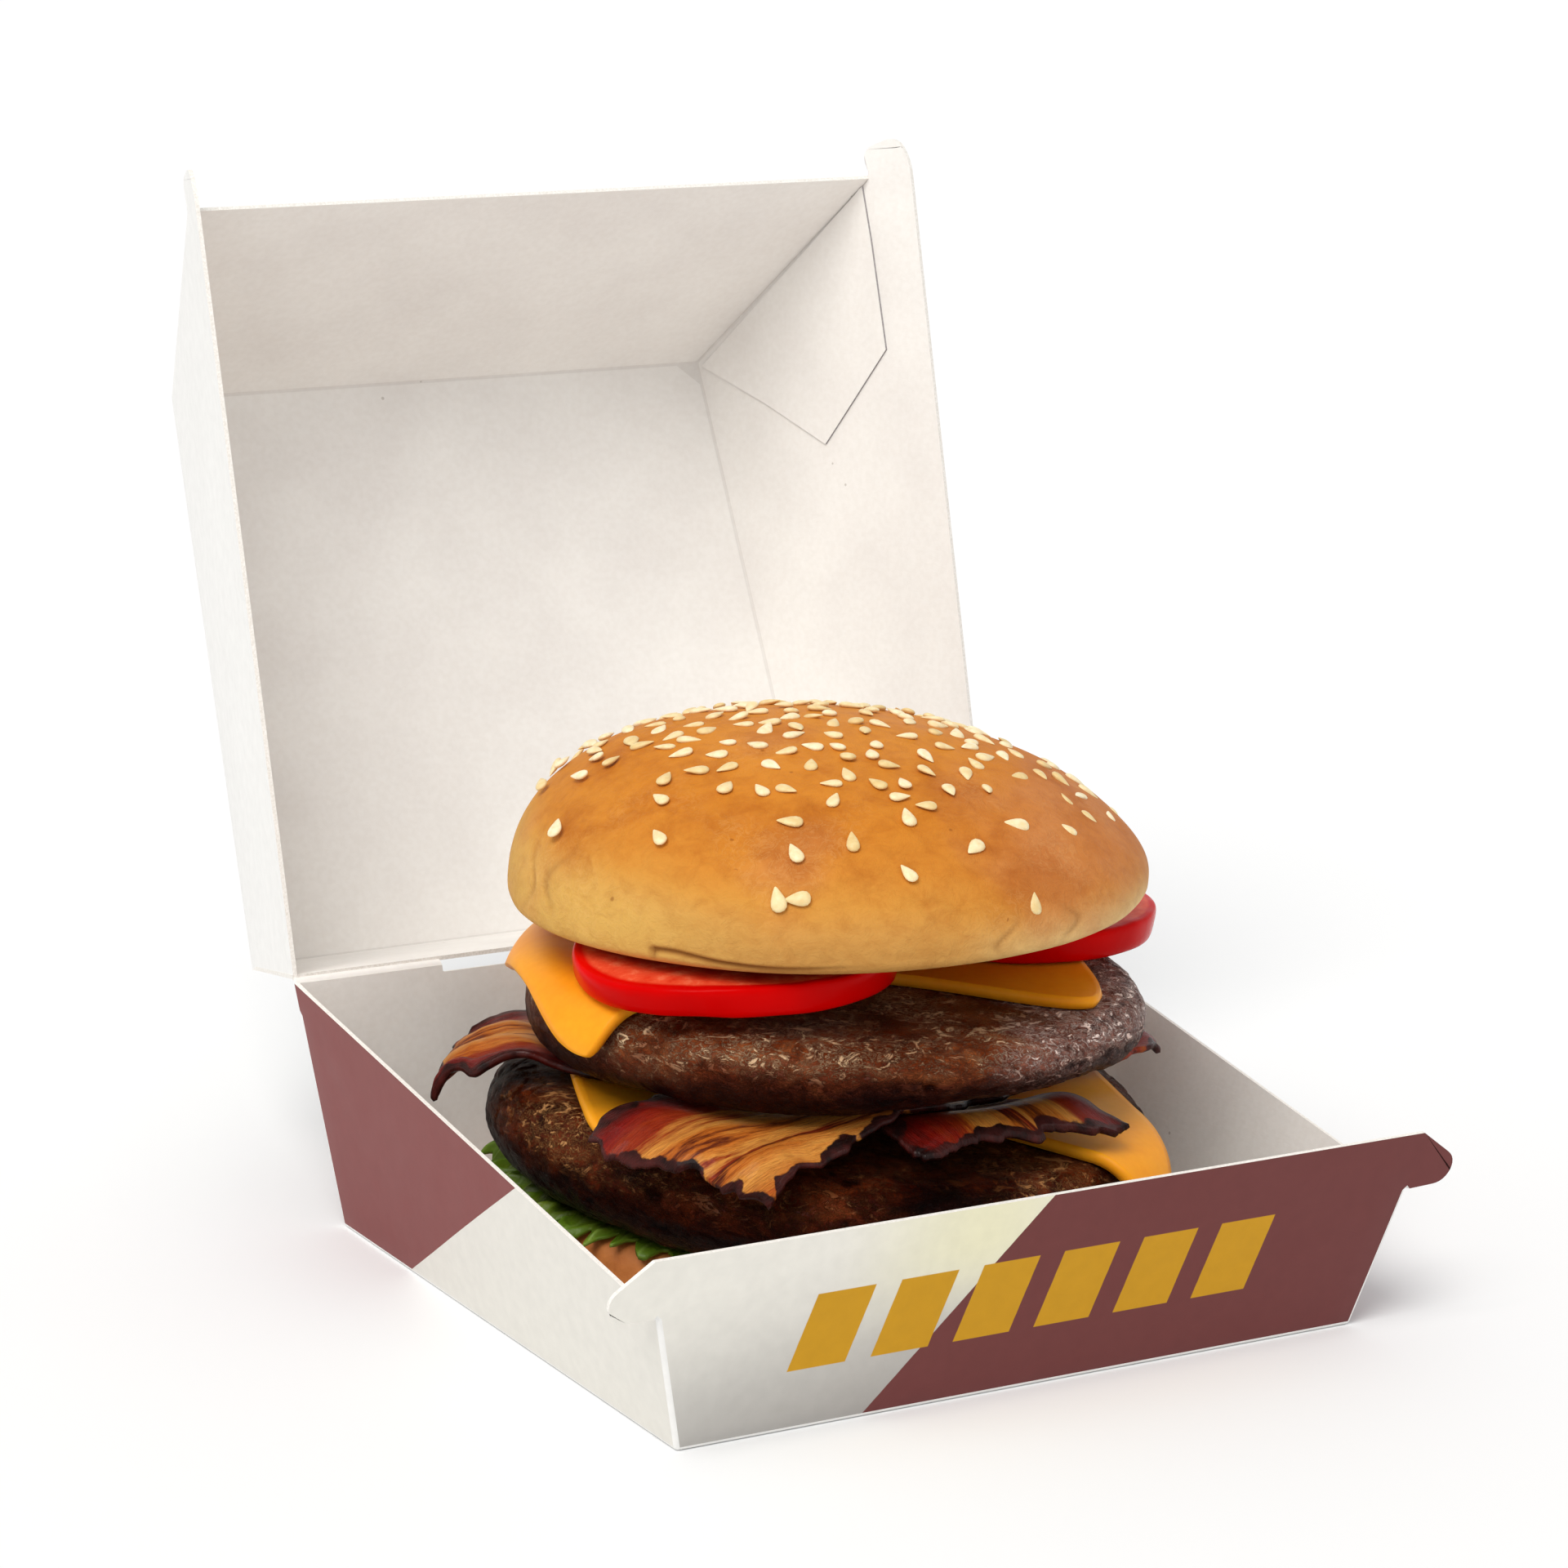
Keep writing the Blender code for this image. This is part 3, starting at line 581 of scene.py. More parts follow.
# ------------------------------------------------------------------- card box
def patch(bm, corners, across, up, index, bulge=0.0):
    """A wall between four corners, split at the shares across and up.

    corners run low left, low right, high right, high left.  The wall bulges
    by that much in its middle, and keeps its edges.
    """
    a, b, c, d = corners
    normal = (b - a).cross(d - a).normalized()
    rows = []
    for v in up:
        rows.append([])
        for u in across:
            swell = math.sin(math.pi * u) * math.sin(math.pi * v)
            place = mix(mix(a, b, u), mix(d, c, u), v)
            rows[-1].append(bm.verts.new(place + normal * bulge * swell))
    for low, high in zip(rows, rows[1:]):
        for i in range(len(across) - 1):
            face = bm.faces.new((low[i], low[i + 1], high[i + 1], high[i]))
            face.material_index = index
    return rows


def rounded(points, radius):
    """An open outline with its inner corners rounded by arcs."""
    points = [Vector(point) for point in points]
    made = [points[0]]
    for before, corner, after in zip(points, points[1:], points[2:]):
        start = corner + (before - corner).normalized() * radius
        end = corner + (after - corner).normalized() * radius
        made += bent_line(start, corner, end, 6)
    return [*made, points[-1]]


def slice_sheet(bm, at, way):
    """Splits the faces that a plane passes through."""
    bmesh.ops.bisect_plane(bm, geom=[*bm.verts, *bm.edges, *bm.faces],
                           plane_co=at, plane_no=way, dist=1e-7)


def pair(width, y, z):
    """The left and right ends of an edge of that width."""
    return [Vector((side * width / 2, y, z)) for side in (-1, 1)]


def fold_edges(bm, angle=12):
    """Edges where two walls meet at an angle."""
    return [edge for edge in bm.edges
            if len(edge.link_faces) == 2 and edge.calc_face_angle() > math.radians(angle)]


def thick_board(name, bm, outside, inside, edge):
    """Rounds the folds of a sheet and gives it its thickness."""
    bmesh.ops.remove_doubles(bm, verts=bm.verts, dist=1e-6)
    bmesh.ops.recalc_face_normals(bm, faces=bm.faces)
    # the fold mark: where inside_board paints its line of shade along the folds
    fold = bm.verts.layers.float.new("fold")
    made = bmesh.ops.bevel(bm, geom=fold_edges(bm), offset=FOLD_ROUND, segments=4, profile=0.5,
                           affect="EDGES", clamp_overlap=True)
    for vert in made["verts"]:
        vert[fold] = 1.0
    mesh = bpy.data.meshes.new(name)
    bm.to_mesh(mesh)
    bm.free()
    count = len(outside)
    for look in [*outside, *[inside] * count, *[edge] * count]:
        mesh.materials.append(look)
    holder = added(name + "_sheet", mesh)
    modifier = holder.modifiers.new("board", "SOLIDIFY")
    modifier.thickness = BOARD
    modifier.offset = -1.0
    modifier.use_even_offset = True
    modifier.material_offset = count
    modifier.material_offset_rim = 2 * count
    bpy.context.view_layer.update()
    depsgraph = bpy.context.evaluated_depsgraph_get()
    made = bpy.data.meshes.new_from_object(holder.evaluated_get(depsgraph))
    bpy.data.objects.remove(holder)
    made.name = name
    return made


def front_wall_y(z):
    """Where the front wall's outer face stands at that height."""
    return mix(BASE_Y - BASE_D / 2, -OPEN_D / 2, z / FRONT_H)


def tray_sheet():
    """The tray's floor and walls as one folded sheet, its outer face."""
    bm = bmesh.new()
    slit = SLIT_W / OPEN_W
    across = sorted([*evenly(ACROSS), 0.5 - slit / 2, 0.5 + slit / 2])
    along, up = evenly(ACROSS), evenly(RISES)
    hinge_z = HINGE_H - FOLD_GAP
    front, back = pair(BASE_W, BASE_Y - BASE_D / 2, 0), pair(BASE_W, BASE_Y + BASE_D / 2, 0)
    notch, hinge = pair(OPEN_W, -OPEN_D / 2, FRONT_H), pair(OPEN_W, OPEN_D / 2, hinge_z)
    patch(bm, [*front, *back[::-1]], across, along, 0)
    patch(bm, [*front, *notch[::-1]], across, up, 1)
    patch(bm, [front[1], back[1], hinge[1], notch[1]], along, up, 2, SIDE_BULGE)
    patch(bm, [back[0], front[0], notch[0], hinge[0]], along, up, 3, SIDE_BULGE)
    back_up = [*up[:-1], 1 - SLIT_H / hinge_z, 1.0]
    rows = patch(bm, [*back[::-1], *hinge], across, back_up, 4)
    inside_slit = [face for vert in rows[-1][1:-1] for face in vert.link_faces
                   if abs(face.calc_center_median().x) < SLIT_W / 2]
    bmesh.ops.delete(bm, geom=list(set(inside_slit)), context="FACES")
    front_strip(bm, notch, across)
    return bm


def front_strip(bm, notch, across):
    """The front wall's upper strip, with a rounded ear at each end."""
    tops = pair(FRONT_TOP_W, front_wall_y(FRONT_TOP_H), FRONT_TOP_H)
    rows = patch(bm, [*notch, *tops[::-1]], across, evenly(2), 1)
    reach = FRONT_TOP_W / 2 + EAR_REACH - EDGE_ROOM
    low_z, high_z = FRONT_H + EAR_LOW, mix(FRONT_H, FRONT_TOP_H, EAR_SHARE)
    for side, column in ((-1, 0), (1, -1)):
        end = [row[column] for row in rows]
        outline = rounded([end[-1].co, (side * reach, front_wall_y(high_z), high_z),
                           (side * (reach - EAR_TAPER), front_wall_y(low_z), low_z), end[0].co],
                          EAR_ROUND)
        corners = [bm.verts.new(place) for place in outline[1:-1]]
        bm.faces.new([*end, *corners]).material_index = 1


def box_tray(looks):
    prints = [looks[key] for key in ("plain", "front", "right", "left", "back")]
    mesh = thick_board("tray", tray_sheet(), prints, looks["inside"], looks["edge"])
    new_piece("tray", mesh, [], "box_base", sharp=CARD_SHARP)


def lid_corners():
    """The lid's edges in its closed position, hinge at Y = 0."""
    return {"back": pair(ROOF_W_BACK, -ROOF_Y, LID_H),
            "front": pair(ROOF_W_FRONT, -ROOF_Y - ROOF_D, LID_H),
            "hinge": pair(OPEN_W, -FOLD_GAP, FOLD_GAP),
            "lip": pair(LIP_W, -LIP_Y, LIP_Z)}


def lid_levels():
    """Heights of the lid's rows, from the lip up: the rows meet at every fold."""
    return [LIP_Z, LIP_Z / 2, *[mix(FOLD_GAP, LID_H, share) for share in evenly(RISES)]]


def lid_sheet():
    """The lid's roof and walls as one folded sheet, its outer face."""
    bm = bmesh.new()
    along, up = evenly(ACROSS), evenly(RISES)
    back, front, hinge, lip = lid_corners().values()
    front_up = [(z - LIP_Z) / (LID_H - LIP_Z) for z in lid_levels()]
    patch(bm, [*front, *back[::-1]], along, along, 0, ROOF_BULGE)
    patch(bm, [*lip, *front[::-1]], along, front_up, 0, LIP_BULGE)
    patch(bm, [*hinge[::-1], *back], along, up, 0)
    for side in (-1, 1):
        lid_side(bm, side)
    return bm


def lid_side_x(y, z):
    """How far out the lid's side wall stands, y being the distance from the hinge."""
    along = y / LIP_Y
    for _ in range(20):
        rise = (z - along * LIP_Z) / (LID_H - along * LIP_Z)
        along = (y - rise * ROOF_Y) / ((1 - rise) * LIP_Y + rise * ROOF_D)
    low, high = mix(OPEN_W, LIP_W, along) / 2, mix(ROOF_W_BACK, ROOF_W_FRONT, along) / 2
    return mix(low, high, rise), along, rise


def half_wave(share):
    """0 at both ends of 0 to 1, 1 in the middle."""
    return math.sin(math.pi * min(max(share, 0), 1))


def lid_side(bm, side):
    """A side wall with the ear at its front, in rows that meet the other walls."""
    ear = rounded([(0.0, LIP_Y, LIP_Z), (0.0, LID_EAR_Y, LID_EAR_TOP),
                   (0.0, LID_EAR_Y, mix(LID_EAR_LOW, LID_EAR_TOP, LID_EAR_SHARE)),
                   (0.0, LID_EAR_Y - LID_EAR_TAPER, LID_EAR_LOW), (0.0, FOLD_GAP, FOLD_GAP)],
                  LID_EAR_ROUND)
    outline = [(0.0, FOLD_GAP, FOLD_GAP), (0.0, ROOF_Y, LID_H), (0.0, ROOF_Y + ROOF_D, LID_H),
               (0.0, LIP_Y, LIP_Z), *ear[1:-1]]
    wall = bmesh.new()
    wall.faces.new([wall.verts.new(place) for place in outline])
    for i in range(1, ACROSS):
        slice_sheet(wall, Vector((0, 1, 0)) * (ROOF_Y + ROOF_D * i / ACROSS), (0, 1, 0))
    for z in lid_levels()[:-1]:
        slice_sheet(wall, Vector((0, 0, 1)) * z, (0, 0, 1))
    placed = {}
    for vert in wall.verts:
        y, z = vert.co.y, vert.co.z
        x, along, rise = lid_side_x(y, z)
        swell = LID_SIDE_BULGE * half_wave(along) * half_wave(rise)
        placed[vert] = bm.verts.new((side * (x + swell), -y, z))
    for face in wall.faces:
        bm.faces.new([placed[vert] for vert in face.verts])
    wall.free()


def flap_mesh(lid_mesh, side):
    """The front wall's glue flap: a thin leaf on the inside of a side wall."""
    bm = bmesh.new()
    bm.from_mesh(lid_mesh)
    wall = BVHTree.FromBMesh(bm)
    bm.clear()
    bm.faces.new([bm.verts.new((0.0, -y, z)) for y, z in FLAP_CORNERS])
    for i in range(1, 40):
        at = Vector((0, -LIP_Y, LIP_Z)) + Vector((0, FLAP_PITCH, FLAP_PITCH)) * i
        slice_sheet(bm, at, (0, 1, 0))
        slice_sheet(bm, at, (0, 0, 1))
    for vert in bm.verts:
        vert.co.x = wall.ray_cast(vert.co, Vector((side, 0, 0)))[0].x + side * FLAP_CLEAR
    # the copy that the extrusion makes is the flap's visible face
    for item in bmesh.ops.extrude_face_region(bm, geom=list(bm.faces))["geom"]:
        if isinstance(item, bmesh.types.BMVert):
            item.co.x -= side * (FLAP_PROUD + FLAP_CLEAR)
    bmesh.ops.recalc_face_normals(bm, faces=bm.faces)
    bm.verts.index_update()
    faces = []
    for face in bm.faces:
        ring = [vert.index for vert in face.verts]
        first = ring.index(min(ring))
        # side faces take the second look, the flap's edge darkened as painted shade
        faces.append((ring[first:] + ring[:first], int(abs(face.normal.x) < 0.5)))
    faces.sort()                # the same order on every run
    mesh = mesh_of("flap", [vert.co[:] for vert in bm.verts], [ring for ring, _ in faces])
    mesh.polygons.foreach_set("material_index", [index for _, index in faces])
    bm.free()
    return mesh


def box_lid(looks):
    mesh = thick_board("lid", lid_sheet(), [looks["plain"]], looks["inside"], looks["edge"])
    for side, name in ((-1, "flap_left"), (1, "flap_right")):
        flap = flap_mesh(mesh, side)
        flap.transform(HINGE)
        new_piece(name, flap, [looks["inside"], looks["flap_shaded_edge"]], None, "lid",
                  sharp=CARD_SHARP)
    mesh.transform(HINGE)
    new_piece("lid", mesh, [], "box_lid", "lid", sharp=CARD_SHARP)


def hinge_fold(looks):
    """The bent board between the tray and the lid, on each side of the slit."""
    back_up = Vector((0, OPEN_D / 2 - (BASE_Y + BASE_D / 2), HINGE_H)).normalized()
    spot = lid_corners()
    lid_up = (HINGE.to_3x3() @ (spot["back"][0] - spot["hinge"][0])).normalized()
    lid_up.x = 0
    middle = Vector((0, OPEN_D / 2, HINGE_H))
    start, end = middle - back_up * FOLD_REACH, middle + lid_up.normalized() * FOLD_REACH
    line = bent_line(start, middle, end, 14)
    ways = [(after - before).normalized()
            for before, after in zip([line[0], *line[:-1]], [*line[1:], line[-1]])]
    section = [[place + Vector((0, -way.z, way.y)) * depth for place, way in zip(line, ways)]
               for depth in (FOLD_SKIN, BOARD - FOLD_SKIN)]
    section = [*section[0], *section[1][::-1]]
    rows, columns = 24, len(section)
    faces = grid_faces(rows, columns, wrap=True)
    faces.append(list(range(columns)))
    faces.append(list(range(rows * columns - 1, (rows - 1) * columns - 1, -1)))
    outer, inner = OPEN_W / 2 - EDGE_ROOM, SLIT_W / 2
    for name, low, high in (("fold_left", -outer, -inner), ("fold_right", inner, outer)):
        points = [(x, at.y, at.z) for x in np.linspace(low, high, rows) for at in section]
        mesh = repair_normals(mesh_of(name, points, faces))
        strip = new_piece(name, mesh, [looks["inside"]], None, None,
                          sharp=FOLD_SHARP)
        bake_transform(strip)


# --------------------------------------------------------------------- patties
class Patty:
    """A patty's outline, which the slices and rashers on it fold over."""

    def __init__(self, radius, thickness, underside, centre, seed, tilt):
        self.radius = radius
        self.tilt = tilt
        self.edge = thickness / 2
        self.underside = underside
        self.top = underside + thickness
        self.centre = centre
        self.wave = uneven(seed, 0.012)

    def flat_radius(self, angle):
        return self.radius * self.wave(angle) - self.edge

    def fold(self, x, y, above, bend, height):
        """Lays points of a flat sheet over the patty, as part.py's solids lie."""
        reach, angle = np.hypot(x, y), np.arctan2(y, x)
        flat = self.flat_radius(angle) + SHEET_ROOM
        past = np.maximum(0.0, reach - flat)
        turn = np.minimum(past / bend, math.pi / 2)
        hang = np.maximum(0.0, past - bend * math.pi / 2)
        out = np.minimum(reach, flat) + (bend + height) * np.sin(turn)
        drop = bend - (bend + height) * np.cos(turn) + hang
        points = spun(out, angle, self.top + above - drop)
        points[:, :2] += self.centre
        return self.tilted(points)

    def under_shift(self, points):
        """Rise of the underside: drawn up on the right, hanging on the left."""
        side = points[:, :2] @ TO_RIGHT / self.radius
        up = smoothstep(-0.1, 0.5, side) * (1 - 0.7 * smoothstep(0.7, 1.0, side))
        down = smoothstep(0.55, 0.85, -side) * UNDER_DROP + smoothstep(0.1, 0.5, -side) * UNDER_SAG
        return UNDER_RISE * up - down

    def tilted(self, points):
        """Raises points by their place across the view, as the patty lies."""
        points[:, 2] += self.tilt * (points[:, :2] @ TO_RIGHT)
        return points


LOWER = Patty(PATTY_R_LOWER, PATTY_T_LOWER, PATTY_LOWER_Z, PATTY_LOWER_AT, 5, 0.0)
UPPER = Patty(PATTY_R_UPPER, PATTY_T_UPPER, PATTY_UPPER_Z, PATTY_UPPER_AT, 8, UPPER_TILT)


def beef_look(name, tones, flake_and_glint, pale, dark):
    """Grilled minced beef: a dark glazed crust with lighter wrinkled flakes and painted highlights.

    tones are the crust's three colours, pale those of the fatty end and of
    its flakes and painted highlights, and dark the colour of deep painted shade.
    """
    look = Look(name, IOR=1.45, Specular_IOR_Level=0.07)
    drawn = look.scaled(1, 1, 1.8)
    body = look.ramp(look.noise(150, 7, 0.66, 1.0, at=drawn),
                     (0.30, *tones[0]), (0.48, *tones[1]), (0.70, *tones[2]))
    ridge = look.ridge(look.noise(520, 6, 0.62, 1.3, at=drawn), 7.0)
    vein = look.ridge(look.noise(1150, 4, 0.6, 1.0, at=drawn), 8.0)
    lines = look.maths("MAXIMUM", ridge, look.times(vein, 0.8))
    patches = look.step(look.noise(110, 4, 0.6), 0.38, 0.54)
    share = look.times(look.mark("flake_and_glint"), look.range(patches, 0.15, 1.0))
    scales = look.step(look.noise(230, 5, 0.72, 2.0, at=look.scaled(1, 1, 2.2)), 0.535, 0.59)
    scales = look.maths("MAXIMUM", scales, look.times(look.step(lines, 0.60, 1.0), 0.55))
    # lighter flakes, partly painted highlights along the wrinkles
    body = look.mix(look.times(scales, share), body, flake_and_glint)
    mottled = look.ramp(look.noise(480, 6, 0.62, 0.8, at=drawn),
                        (0.32, *pale[0]), (0.5, *pale[1]), (0.68, *pale[2]))
    # the pale end's flakes tinted near white: painted highlights on its wrinkles
    body = look.mix(look.mark("pale"), body, look.tint(mottled, scales, 0.9, pale[3]))
    # painted shade from the depth mark: darker in hollows, cracks and pits and low on the side
    shade = look.ramp(look.mark("depth"), (0.0, *dark), (0.5, 214, 198, 190), (0.8, 255, 255, 255))
    look.set(Base_Color=look.mix(1.0, body, shade, "MULTIPLY"),
             Roughness=look.range(look.noise(300, 4), 0.24, 0.44))
    slow = look.bump(look.noise(130, 5, 0.6, at=drawn), 0.0005)
    fine = look.bump(scales, 0.00030, after=slow)
    look.bump(look.noise(1400, 3), 0.00005, after=fine)
    return look.material


def patty_piece(name, node, patty, seed, regions, look):
    """A round slab of minced meat with slow lumps, cracks and a few pits.

    regions gives pits as (direction, height, size, depth), where the flakes
    and painted highlights lie as (direction, spread, strength, low, high), where
    the pale end starts and how dark the painted shade on the lower edge is.
    """
    columns = 620
    top = np.linspace(0.10, 1.0, 16)
    turns = np.linspace(0, math.pi, 60)[1:-1]
    share = np.concatenate([top, np.ones(len(turns)), top[::-1]])
    turn = np.concatenate([np.zeros(len(top)), turns, np.full(len(top), math.pi)])
    angle, share, turn = revolved(columns, share, turn)
    out = patty.flat_radius(angle) * share + patty.edge * np.sin(turn)
    normal = spun(np.sin(turn), angle, np.cos(turn))
    points = spun(out, angle, patty.edge * np.cos(turn))
    drawn = points * (1.0, 1.0, 1.7)
    warp = 0.0018 * np.stack([soft_noise(points, 0.006, seed + k, 2) for k in (40, 41, 42)], axis=1)
    inside, number = grains(drawn + warp, 0.0052, seed)
    lump = soft_noise(points, 0.017, seed + 20, 2)
    fold = 1 - np.abs(soft_noise(drawn, 0.0048, seed + 30, 3))
    cracks = (1 - smoothstep(0.0, 0.22, inside)) * smoothstep(0.1, 0.7, number)
    push = 0.00050 * lump + 0.00028 * (fold - 0.7) + 0.00020 * (number - 0.5) - 0.00022 * cracks
    # depth: 1 where lit, lower where painted shade goes, in the hollows between lumps and in the
    # cracks
    depth = smoothstep(-1.5, 0.2, lump) * (1 - 0.25 * cracks) * smoothstep(-0.1, 0.5, fold)
    for direction, height, size, deep in regions["pits"]:
        across = angle_from(angle, FRONT + math.radians(direction)) * out
        hole = np.exp(-((across ** 2 + (points[:, 2] - height) ** 2) / size ** 2))
        push -= deep * hole
        # painted shade in the pits
        depth *= 1 - 0.9 * hole
    push *= np.where(turn == 0, 0.25, 1.0)
    points += normal * np.clip(push, -0.0030, 0.0006)[:, None]
    level = np.cos(turn)
    # painted shade on the lower side
    depth *= mix(regions["low"], 1.0, smoothstep(-0.45, 0.75, level))
    flake_and_glint = np.zeros_like(angle)
    for direction, spread, strength, low, high in regions["flakes"]:
        near = around(np.degrees(angle_from(angle, FRONT)), direction, spread)
        flake_and_glint = np.maximum(flake_and_glint, strength * near * smoothstep(low, high, level))
    # lighter where the flakes and painted highlights lie
    depth = np.maximum(depth, 0.7 * flake_and_glint)
    side = points[:, :2] @ TO_RIGHT / patty.radius
    pale = smoothstep(*regions["pale"], side + 0.20 * soft_noise(points, 0.010, seed + 60, 3))
    marks = {"depth": np.append(depth, (1, 1)), "flake_and_glint": np.append(flake_and_glint, (0, 0)),
             "pale": np.append(pale, (0, 0))}
    if patty.tilt:
        points[:, 2] += patty.under_shift(points) * (0.5 - 0.5 * level)
    points = np.vstack([points, (0, 0, patty.edge), (0, 0, -patty.edge)])
    points = patty.tilted(points + (*patty.centre, patty.underside + patty.edge))
    solid(name, points, closed_rows(points, columns), marks, look, node)


# ------------------------------------------------------------------------ buns
def crown_profile(latitude):
    """(share of the radius, height) on the crown's outline, pole to pole."""
    sine, cosine = np.sin(latitude), np.maximum(np.cos(latitude), 1e-9)
    below = np.maximum(-sine, 0.0)
    share = np.where(sine >= 0, cosine, cosine ** RIM_ROUND)
    height = np.where(sine >= 0, BUN_WAIST + (BUN_H - BUN_WAIST) * sine,
                      BUN_WAIST * (1 - below ** RIM_DROP))
    return share, height


CROWN_WAVE = uneven(21, 0.006)


def crust_look():
    """The crown's crust: deeper brown above, pale and soft towards the rim, with painted light and
    shade.
    """
    look = Look("crown_crust", IOR=1.42, Specular_IOR_Level=0.06)
    height = look.times(look.axis("Z"), 1 / BUN_H)
    level = look.plus(height, look.swing(look.noise(40, 5, 0.58, 0.4), 0.30))
    # the lowest stops a little darker: painted shade at the bottom of the rim
    crust = look.ramp(level, (0.02, 190, 138, 74), (0.14, 196, 144, 76), (0.26, 202, 146, 74),
                      (0.40, 208, 144, 62), (0.54, 206, 133, 50),
                      (0.76, 206, 128, 42), (0.95, 212, 136, 50))
    to_right = (*(TO_RIGHT / BUN_R), 0.0)
    across = look.node("VectorMath", {0: look.place, 1: to_right}, operation="DOT_PRODUCT")
    across = across.outputs["Value"]
    rim = look.step(height, 0.46, 0.18)
    # painted light: a cream pool of light on the right of the rim, and a lighter left rim
    lit_right_rim = look.times(rim, look.step(across, 0.30, 0.95))
    lit_left_rim = look.times(rim, look.step(across, -0.10, -0.70))
    # painted shade: darker on the right side, above the rim
    shaded_right_side = look.times(look.step(across, 0.15, 0.90), look.step(height, 0.20, 0.55))
    blush = look.step(look.noise(26, 3, 0.5), 0.46, 0.66)
    bake = look.times(look.step(look.noise(58, 6, 0.62, 0.2), 0.47, 0.66),
                      look.step(height, 0.15, 0.55))
    for mask, strength, colour in ((lit_right_rim, 0.85, (240, 214, 152)),
                                   (lit_left_rim, 0.80, (216, 170, 88)),
                                   (shaded_right_side, 0.55, (182, 98, 36)),
                                   (blush, 0.60, (204, 136, 86)),
                                   (bake, 0.50, (170, 90, 26))):
        crust = look.tint(crust, mask, strength, colour)
    streak = look.noise(230, 6, 0.66, 0.6, at=look.scaled(1, 1, 1.7))
    crust = look.stain(crust, 0.40, streak, 0.30, 0.56, (214, 186, 160))
    wrinkle = look.ridge(look.noise(420, 5, 0.62, 1.4), 9.0)
    fleck = look.times(look.step(wrinkle, 0.55, 1.0), look.step(look.noise(48, 3), 0.50, 0.64))
    speck = look.times(look.specks(240, 0.12, 0.05),
                       look.maths("GREATER_THAN", look.noise(90, 1), 0.60))
    # painted shade on the underside, where the crown turns under
    under = look.step(look.mark("low"), 0.62, 0.98)
    for mask, strength, colour in ((fleck, 0.12, (240, 192, 126)),
                                   (speck, 0.55, (132, 72, 28)),
                                   # painted shade in the creases
                                   (look.mark("crease"), 0.85, (126, 70, 26)),
                                   (under, 0.75, (162, 104, 40))):
        crust = look.tint(crust, mask, strength, colour)
    look.set(Base_Color=crust, Roughness=look.range(streak, 0.42, 0.60))
    look.scatter(0.06, (1.0, 0.55, 0.25), 0.0012)
    broad = look.bump(look.noise(120, 4, 0.55), 0.00030)
    mid = look.bump(streak, 0.00024, after=broad)
    fine = look.bump(wrinkle, 0.00004, after=mid)
    look.bump(look.noise(1500, 3), 0.00004, after=fine)
    return look.material


def heel_look():
    """The heel's crust: brown in random patches, paler and darker."""
    look = Look("heel_crust")
    tone = look.noise(120, 5, 0.6)
    look.set(Base_Color=look.ramp(tone, (0.3, 176, 100, 46), (0.55, 204, 126, 62),
                                  (0.75, 222, 156, 88)),
             Roughness=look.range(tone, 0.5, 0.75))
    look.bump(look.noise(480, 5, 0.6), 0.00022)
    return look.material


def bun_crown():
    columns = 560
    dome = np.linspace(math.pi / 2, 0, 92)[1:]
    rim = -np.arcsin(np.linspace(0, 1, 46)[1:-1] ** (1 / RIM_DROP))
    angle, latitude = revolved(columns, np.concatenate([dome, rim]))
    share, height = crown_profile(latitude)
    points = spun(BUN_R * CROWN_WAVE(angle) * share, angle, height)
    normal = spun(share, angle, 0.0) / BUN_R
    normal[:, 2] = np.sin(latitude) / (BUN_H - BUN_WAIST)
    normal /= np.linalg.norm(normal, axis=1)[:, None]
    slow = soft_noise(points, 0.022, 71, 2) * 0.00035 + soft_noise(points, 0.006, 75, 2) * 0.00007
    crease = crown_creases(angle, height)
    visible = smoothstep(-0.6, -0.1, np.sin(latitude))
    points += normal * ((slow - 0.0007 * crease) * visible)[:, None]
    # the underside leans from the dome, so the lower part rises to the right
    lean = math.tan(BUN_SEAT) * (points[:, :2] @ TO_RIGHT)
    points[:, 2] += lean * np.clip(1 - height / BUN_H, 0, 1) ** 2
    points = np.vstack([points, (0, 0, BUN_H), (0, 0, BUN_HOLLOW)])
    low = smoothstep(0.0, -0.9, np.sin(latitude))
    marks = {"crease": np.append(crease, (0, 0)), "low": np.append(low, (0, 1))}
    solid("crown", points, closed_rows(points, columns), marks, crust_look(), "bun_top",
          CROWN)


def crown_creases(angle, height):
    """Depth of the crown's creases, 0 to 1: a torn fold and short wrinkles near the rim."""
    turn = np.degrees(angle_from(angle, FRONT))
    line = 0.0026 + 0.0009 * smoothstep(-18, -30, turn) + 0.0003 * np.sin(turn / 5)
    fold = around(height, line, 0.00045) * smoothstep(-33, -31, turn) * smoothstep(10, -14, turn)
    hook = around(turn, -31.5, 0.6) * around(height, 0.0029, 0.0008)
    wrinkles = np.zeros_like(turn)
    for place, low, size in ((-58, 0.0085, 1.2), (-66, 0.0075, 0.8), (33, 0.0060, 0.7),
                             (47, 0.0065, 1.0)):
        sway = place + 2.2 * np.sin(height * 700 + place)
        wrinkles += 0.45 * around(turn, sway, size) * around(height, low, 0.0030)
    return np.clip(fold + 0.7 * hook + wrinkles, 0.0, 1.0)


